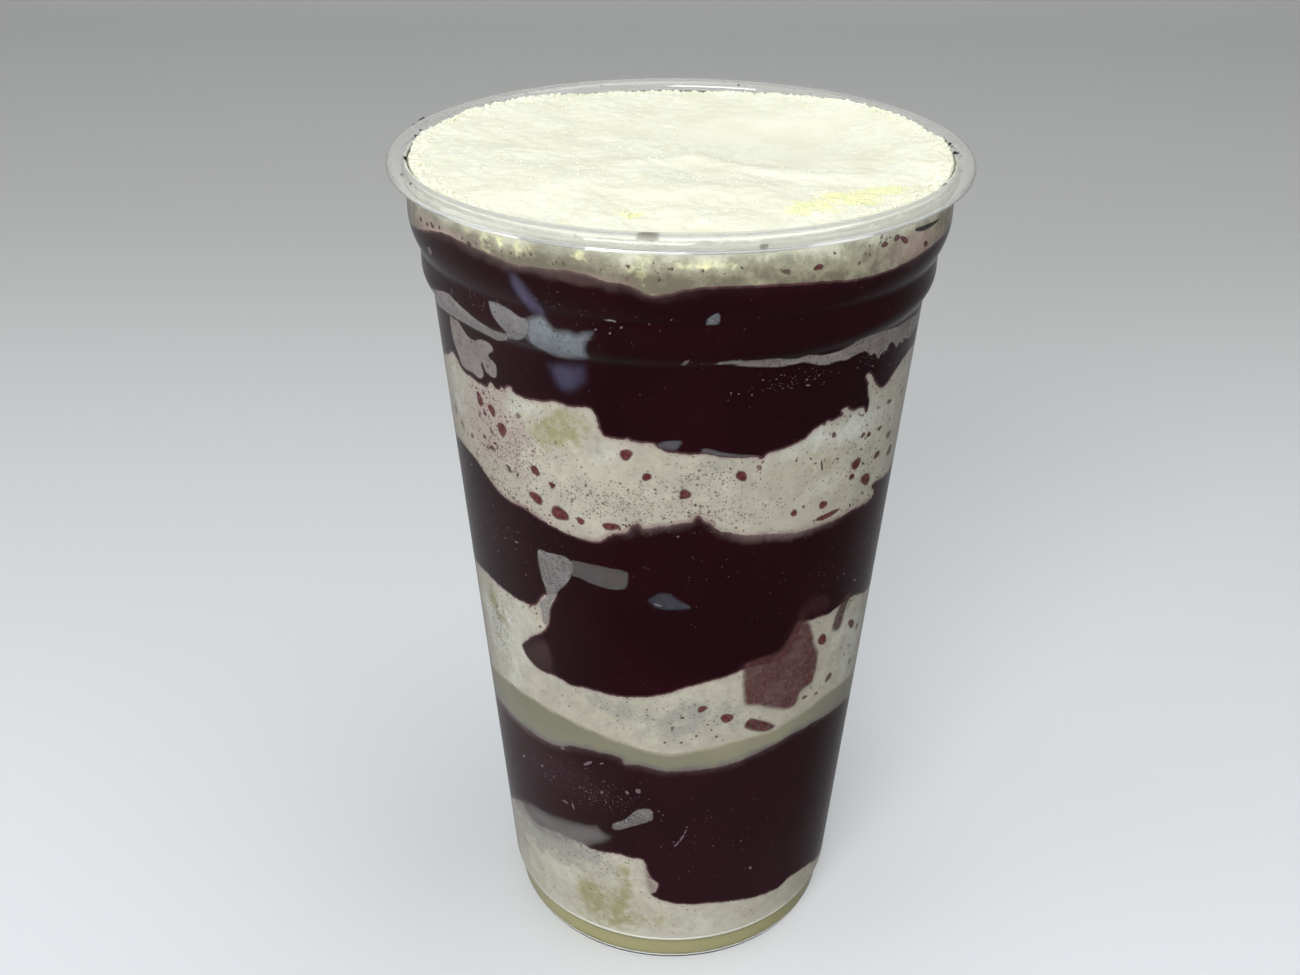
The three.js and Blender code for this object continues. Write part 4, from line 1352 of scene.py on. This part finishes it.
def powder_piece():
    """The powder: a grid for its top, rows down its side to the layer below, and its underside."""
    side = np.linspace(-1, 1, POWDER_GRID + 1)
    points = []
    warm = []
    for v in side:
        for u in side:
            x = u * math.sqrt(1 - v * v / 2)
            y = v * math.sqrt(1 - u * u / 2)
            turn = math.atan2(x, -y)
            ragged = 0.3 * ring_noise(turn, 0.3, 9) + 0.25 * ring_noise(turn, 0.7, 40)
            reach = float(food_radius(155)) - 0.45 + ragged
            x, y = x * reach, y * reach
            points.append([x, y, powder_height(x, y)])
            warm.append(min(sum(bump_at(x, y, *crumb) for crumb in POWDER_CRUMBS), 1))
    grid_count = len(points)
    faces = grid_faces(len(side))
    rim = grid_rim(len(side))
    # From the ragged rim out to the wall, and down it to the layer below.
    low = LINES[-1][:-1]
    low_turns = low[:, 0] / UNROLL_RADIUS
    order = np.argsort(low_turns)
    tops = np.array([points[i] for i in rim])
    turns = turns_of(tops)
    bottoms = np.interp(turns, low_turns[order], low[order, 1], period=2 * math.pi)
    contact = np.array([
        154.3 + 0.3 * ring_noise(turn, 2, 6) + 0.25 * ring_noise(turn, 5, 30) for turn in turns
    ])
    top_reach = np.hypot(tops[:, 0], tops[:, 1])
    band = []
    ring = rim
    for recess, drop in POWDER_ROWS:
        level = tops[:, 2] + (contact - tops[:, 2]) * recess
        level = level + (bottoms - level) * drop
        wall = food_radius(level)
        radius = top_reach + (wall - top_reach) * math.sin(recess * math.pi / 2)
        if recess < 1:
            radius = radius + np.array([
                0.25 * noise.noise(Vector((math.sin(t) * 40, math.cos(t) * 40, z * 0.9)))
                for t, z in zip(turns, level)
            ])
            radius = np.minimum(radius, wall)
        start = len(points)
        points.extend(around(radius, turns, level).tolist())
        band += list(np.stack([np.degrees(turns), level], -1))
        below = list(range(start, start + len(rim)))
        faces.extend(strip(below, ring, True))
        ring = below
    band = np.array(band)
    moist = np.concatenate([np.zeros(grid_count), np.interp(band[:, 1], MOIST_HEIGHTS, MOIST_VALUES)])
    warm_band = spots(band, BAND_BRIGHT)
    shift = spots(band, BAND_DAMP) - spots(band, BAND_BLOOM) - 0.16 * warm_band
    moist[grid_count:] = np.clip(moist[grid_count:] + shift, 0, 1.2)
    warm_band *= 0.6
    pink = spots(band, BAND_PINK)
    lid(points, faces, ring, CENTRES[-1], False)
    spare = len(points) - len(moist)
    values = {
        "moist": np.concatenate([moist, np.ones(spare)]),
        "warm": np.concatenate([warm, warm_band, np.zeros(spare)]),
        "pink": np.concatenate([np.zeros(grid_count), pink, np.zeros(spare)]),
    }
    make_piece("milk_powder_heap", points, faces, POWDER, ["milk_powder"],
               values, sharp=70)


powder_piece()


# How deep the middle of a crumb sits in the rim, and the widest reach of the loose powder.
CRUMB_SINK = 0.1
GRAIN_REACH = 44.2


def add_crumb(batch, x, y, z, size, **values):
    """A rough grain with eight faces, that holds each value at all its points."""
    reach = [size * random.uniform(0.6, 1.1) for _ in range(6)]
    points = [(reach[0], 0, 0), (-reach[1], 0, 0), (0, reach[2], 0), (0, -reach[3], 0),
              (0, 0, reach[4] * 0.8), (0, 0, -reach[5] * 0.8)]
    faces = [(0, 2, 4), (2, 1, 4), (1, 3, 4), (3, 0, 4), (2, 0, 5), (1, 2, 5), (3, 1, 5), (0, 3, 5)]
    spin = Matrix.Rotation(random.uniform(0, 6.3), 3, "Z") @ Matrix.Rotation(random.uniform(-1, 1), 3, "X")
    values = {name: [value] * len(points) for name, value in values.items()}
    batch.add([tuple(spin @ Vector(p) + Vector((x, y, z))) for p in points], faces, **values)


def add_rim_crumb(angle, radius, size):
    """A crumb on the rim's curl, lower than the rim's top."""
    across = (radius - CURL_RADIUS) / (CURL_WIDTH + SHEET)
    level = CURL_LEVEL + (CURL_HEIGHT + SHEET) * math.sqrt(max(1 - across * across, 0)) - CRUMB_SINK
    x, y, z = around(radius, math.radians(angle), level)
    add_crumb(crumbs, x, y, min(z, CUP_HEIGHT - size * 1.1), size)


# Dark crumbs on the rim: (angle, radius, size).
RIM_CRUMBS = [
    (-109, 48.6, 0.75), (-107.5, 48.5, 0.5), (-104, 48.6, 0.4), (-102, 47.8, 0.3),
    (-100, 45.9, 0.35), (-96, 45.8, 0.45), (-79, 45.8, 0.5), (-78, 45.8, 0.35),
    (-65, 47.7, 0.35), (-59, 47.9, 0.38), (-49, 45.7, 0.25), (-117, 48.6, 0.3),
    (-160, 45.9, 0.25), (170, 47.4, 0.25), (166, 46, 0.35), (165, 48.7, 0.4), (163, 48.7, 0.3),
    (99, 45.9, 0.3), (97, 45.8, 0.3), (94, 45.9, 0.45), (92, 45.9, 0.3), (88, 45.8, 0.5),
    (87, 45.9, 0.35), (86, 46.1, 0.4), (83, 46.5, 0.3), (72, 46.9, 0.28), (67, 46.5, 0.22),
    (63, 46.2, 0.42), (62, 46.1, 0.3), (25, 45.8, 0.3), (31, 45.8, 0.22), (46, 45.8, 0.22),
    (128, 46, 0.3), (-140, 46.1, 0.25), (-146, 48.6, 0.3), (140, 48.6, 0.25),
]
crumbs = Batch()
for mark in RIM_CRUMBS:
    add_rim_crumb(*mark)
for _ in range(60):
    angle = random.choice((random.gauss(-85, 22), random.gauss(85, 20), random.uniform(-180, 180)))
    add_rim_crumb(angle, random.choice((45.8, 46.0, 47.8, 48.6)), random.uniform(0.07, 0.16))
crumbs.piece("rim_crumbs", CRUMB, "acai", sharp=20)

seam = Batch("cover", "hue")
add_patch(seam, WEDGE, 1.0, 0.0, 0.3, seed=90, lift=0.1)
seam.piece("acai_seam", CRUMB, "acai")

grains = Batch("moist", "warm", "pink")


def add_grain(x, y, size, warm=0.0):
    """A loose grain on the powder's top."""
    top = min(powder_height(x, y) + size * 0.1, CUP_HEIGHT - size)
    add_crumb(grains, x, y, top, size, moist=0.0, warm=warm, pink=0.0)


for _ in range(900):
    turn = random.uniform(0, 2 * math.pi)
    reach = GRAIN_REACH * math.sqrt(random.uniform(0.0, 1))
    x, y = reach * math.sin(turn), -reach * math.cos(turn)
    if bump_at(x, y, *HOLLOW) < random.uniform(0.1, 0.5):
        add_grain(x, y, random.uniform(0.12, 0.3))
for _ in range(420):
    turn = random.uniform(0, 2 * math.pi)
    reach = random.uniform(42.8, 44.4)
    add_grain(reach * math.sin(turn), -reach * math.cos(turn), random.uniform(0.15, 0.5))
for cx, cy, wide, deep in POWDER_CRUMBS:
    for _ in range(60):
        x, y = random.gauss(cx, wide * 0.5), random.gauss(cy, deep * 0.5)
        if math.hypot(x, y) < 44:
            add_grain(x, y, random.uniform(0.1, 0.35), random.uniform(0.2, 1))
grains.piece("powder_grains", POWDER, "milk_powder", sharp=60)


# ---------------------------------------------------------------- camera, light and floor

# The pinhole camera fitted to the photo, with its place in millimetres and its angles in radians.
FOCAL_PIXELS = 1400
PHOTO_WIDTH = 1300
CAMERA_PLACE = (0.9, -234.1, 220.2)
CAMERA_YAW = -0.0241
CAMERA_DIP = 0.5044
CAMERA_ROLL = 0.0055
# The point that every lamp faces, in metres.
LAMP_AIM = (0, 0, 0.08)
# The world's light: (direction, start, end, strength at the start, strength at the end).
WORLD_RAMPS = [((0, 0, 1), -0.35, 0.1, 0.06, 0.48), ((-0.6, 0.8, 0), -0.3, 0.6, 0.06, 0.23)]


def add_camera():
    """The photo's camera."""
    data = bpy.data.cameras.new("camera")
    data.sensor_width = 36
    data.lens = data.sensor_width * FOCAL_PIXELS / PHOTO_WIDTH
    camera = add_object("camera", data)
    ahead = Vector((
        math.sin(CAMERA_YAW) * math.cos(CAMERA_DIP),
        math.cos(CAMERA_YAW) * math.cos(CAMERA_DIP),
        -math.sin(CAMERA_DIP),
    ))
    level = Vector((math.cos(CAMERA_YAW), -math.sin(CAMERA_YAW), 0))
    up = level.cross(ahead)
    right = math.cos(CAMERA_ROLL) * level + math.sin(CAMERA_ROLL) * up
    up = right.cross(ahead)
    turn = Matrix((right, up, -ahead)).transposed().to_4x4()
    camera.matrix_world = Matrix.Translation(Vector(CAMERA_PLACE) * MM) @ turn
    bpy.context.scene.camera = camera


def add_light(name, place, size, power):
    """A white rectangular lamp that faces the cup."""
    data = bpy.data.lights.new(name, "AREA")
    data.shape = "RECTANGLE"
    data.size, data.size_y = size
    data.energy = power
    light = add_object(name, data)
    light.location = place
    light.rotation_euler = (Vector(LAMP_AIM) - Vector(place)).to_track_quat("-Z", "Y").to_euler()


def add_floor():
    """A pale floor that sweeps up into a backdrop, greyer with distance."""
    sweep = [(0.9 + 0.5 * math.sin(a), 0.5 - 0.5 * math.cos(a))
             for a in np.linspace(0, math.pi / 2, 24)]
    outline = [(-3.0, 0), (-1.0, 0), *sweep, (1.4, 2.2)]
    points = [(x, y, z) for x in (-4, 4) for y, z in outline]
    count = len(outline)
    faces = [(i, i + 1, count + i + 1, count + i) for i in range(count - 1)]
    mesh = bpy.data.meshes.new("floor")
    mesh.from_pydata(points, [], [face[::-1] for face in faces])
    mesh.polygons.foreach_set("use_smooth", [True] * len(mesh.polygons))
    n = Nodes("pale_floor")
    back = n.add("ShaderNodeSeparateXYZ", {"Vector": n.place()}).outputs["Y"]
    tint = n.mix(n.between(back, -0.12, 0.5), colour(229, 232, 236), colour(190, 191, 190))
    mesh.materials.append(n.shaded(tint, 0.4, 0.3))
    floor = add_object("floor", mesh)
    floor.visible_glossy = False


def add_world():
    """Soft light from above. Below, the world is dark in front and paler behind on the left."""
    world = bpy.data.worlds.new("studio")
    world.use_nodes = True
    tree = world.node_tree
    where = tree.nodes.new("ShaderNodeTexCoord")
    either = tree.nodes.new("ShaderNodeMath")
    either.operation = "MAXIMUM"
    for i, (ahead, start, end, low, high) in enumerate(WORLD_RAMPS):
        along = tree.nodes.new("ShaderNodeVectorMath")
        along.operation = "DOT_PRODUCT"
        tree.links.new(where.outputs["Generated"], along.inputs[0])
        along.inputs[1].default_value = ahead
        ramp = tree.nodes.new("ShaderNodeMapRange")
        tree.links.new(along.outputs["Value"], ramp.inputs["Value"])
        for key, value in {"From Min": start, "From Max": end, "To Min": low, "To Max": high}.items():
            ramp.inputs[key].default_value = value
        tree.links.new(ramp.outputs["Result"], either.inputs[i])
    background = tree.nodes["Background"]
    background.inputs["Color"].default_value = (0.93, 0.94, 0.95, 1)
    tree.links.new(either.outputs[0], background.inputs["Strength"])
    bpy.context.scene.world = world


add_camera()
add_floor()
add_world()
add_light("ceiling", (0.22, 0.06, 1.05), (0.75, 0.75), 3.1)
add_light("left_side", (-1.1, -0.2, 0.3), (0.7, 1.0), 3.3)
add_light("right_side", (0.9, -0.45, 0.35), (0.5, 0.7), 1.1)
add_light("front_fill", (-0.28, -1.03, 0.7), (0.8, 0.6), 10.5)
bpy.context.scene.view_settings.view_transform = "Standard"
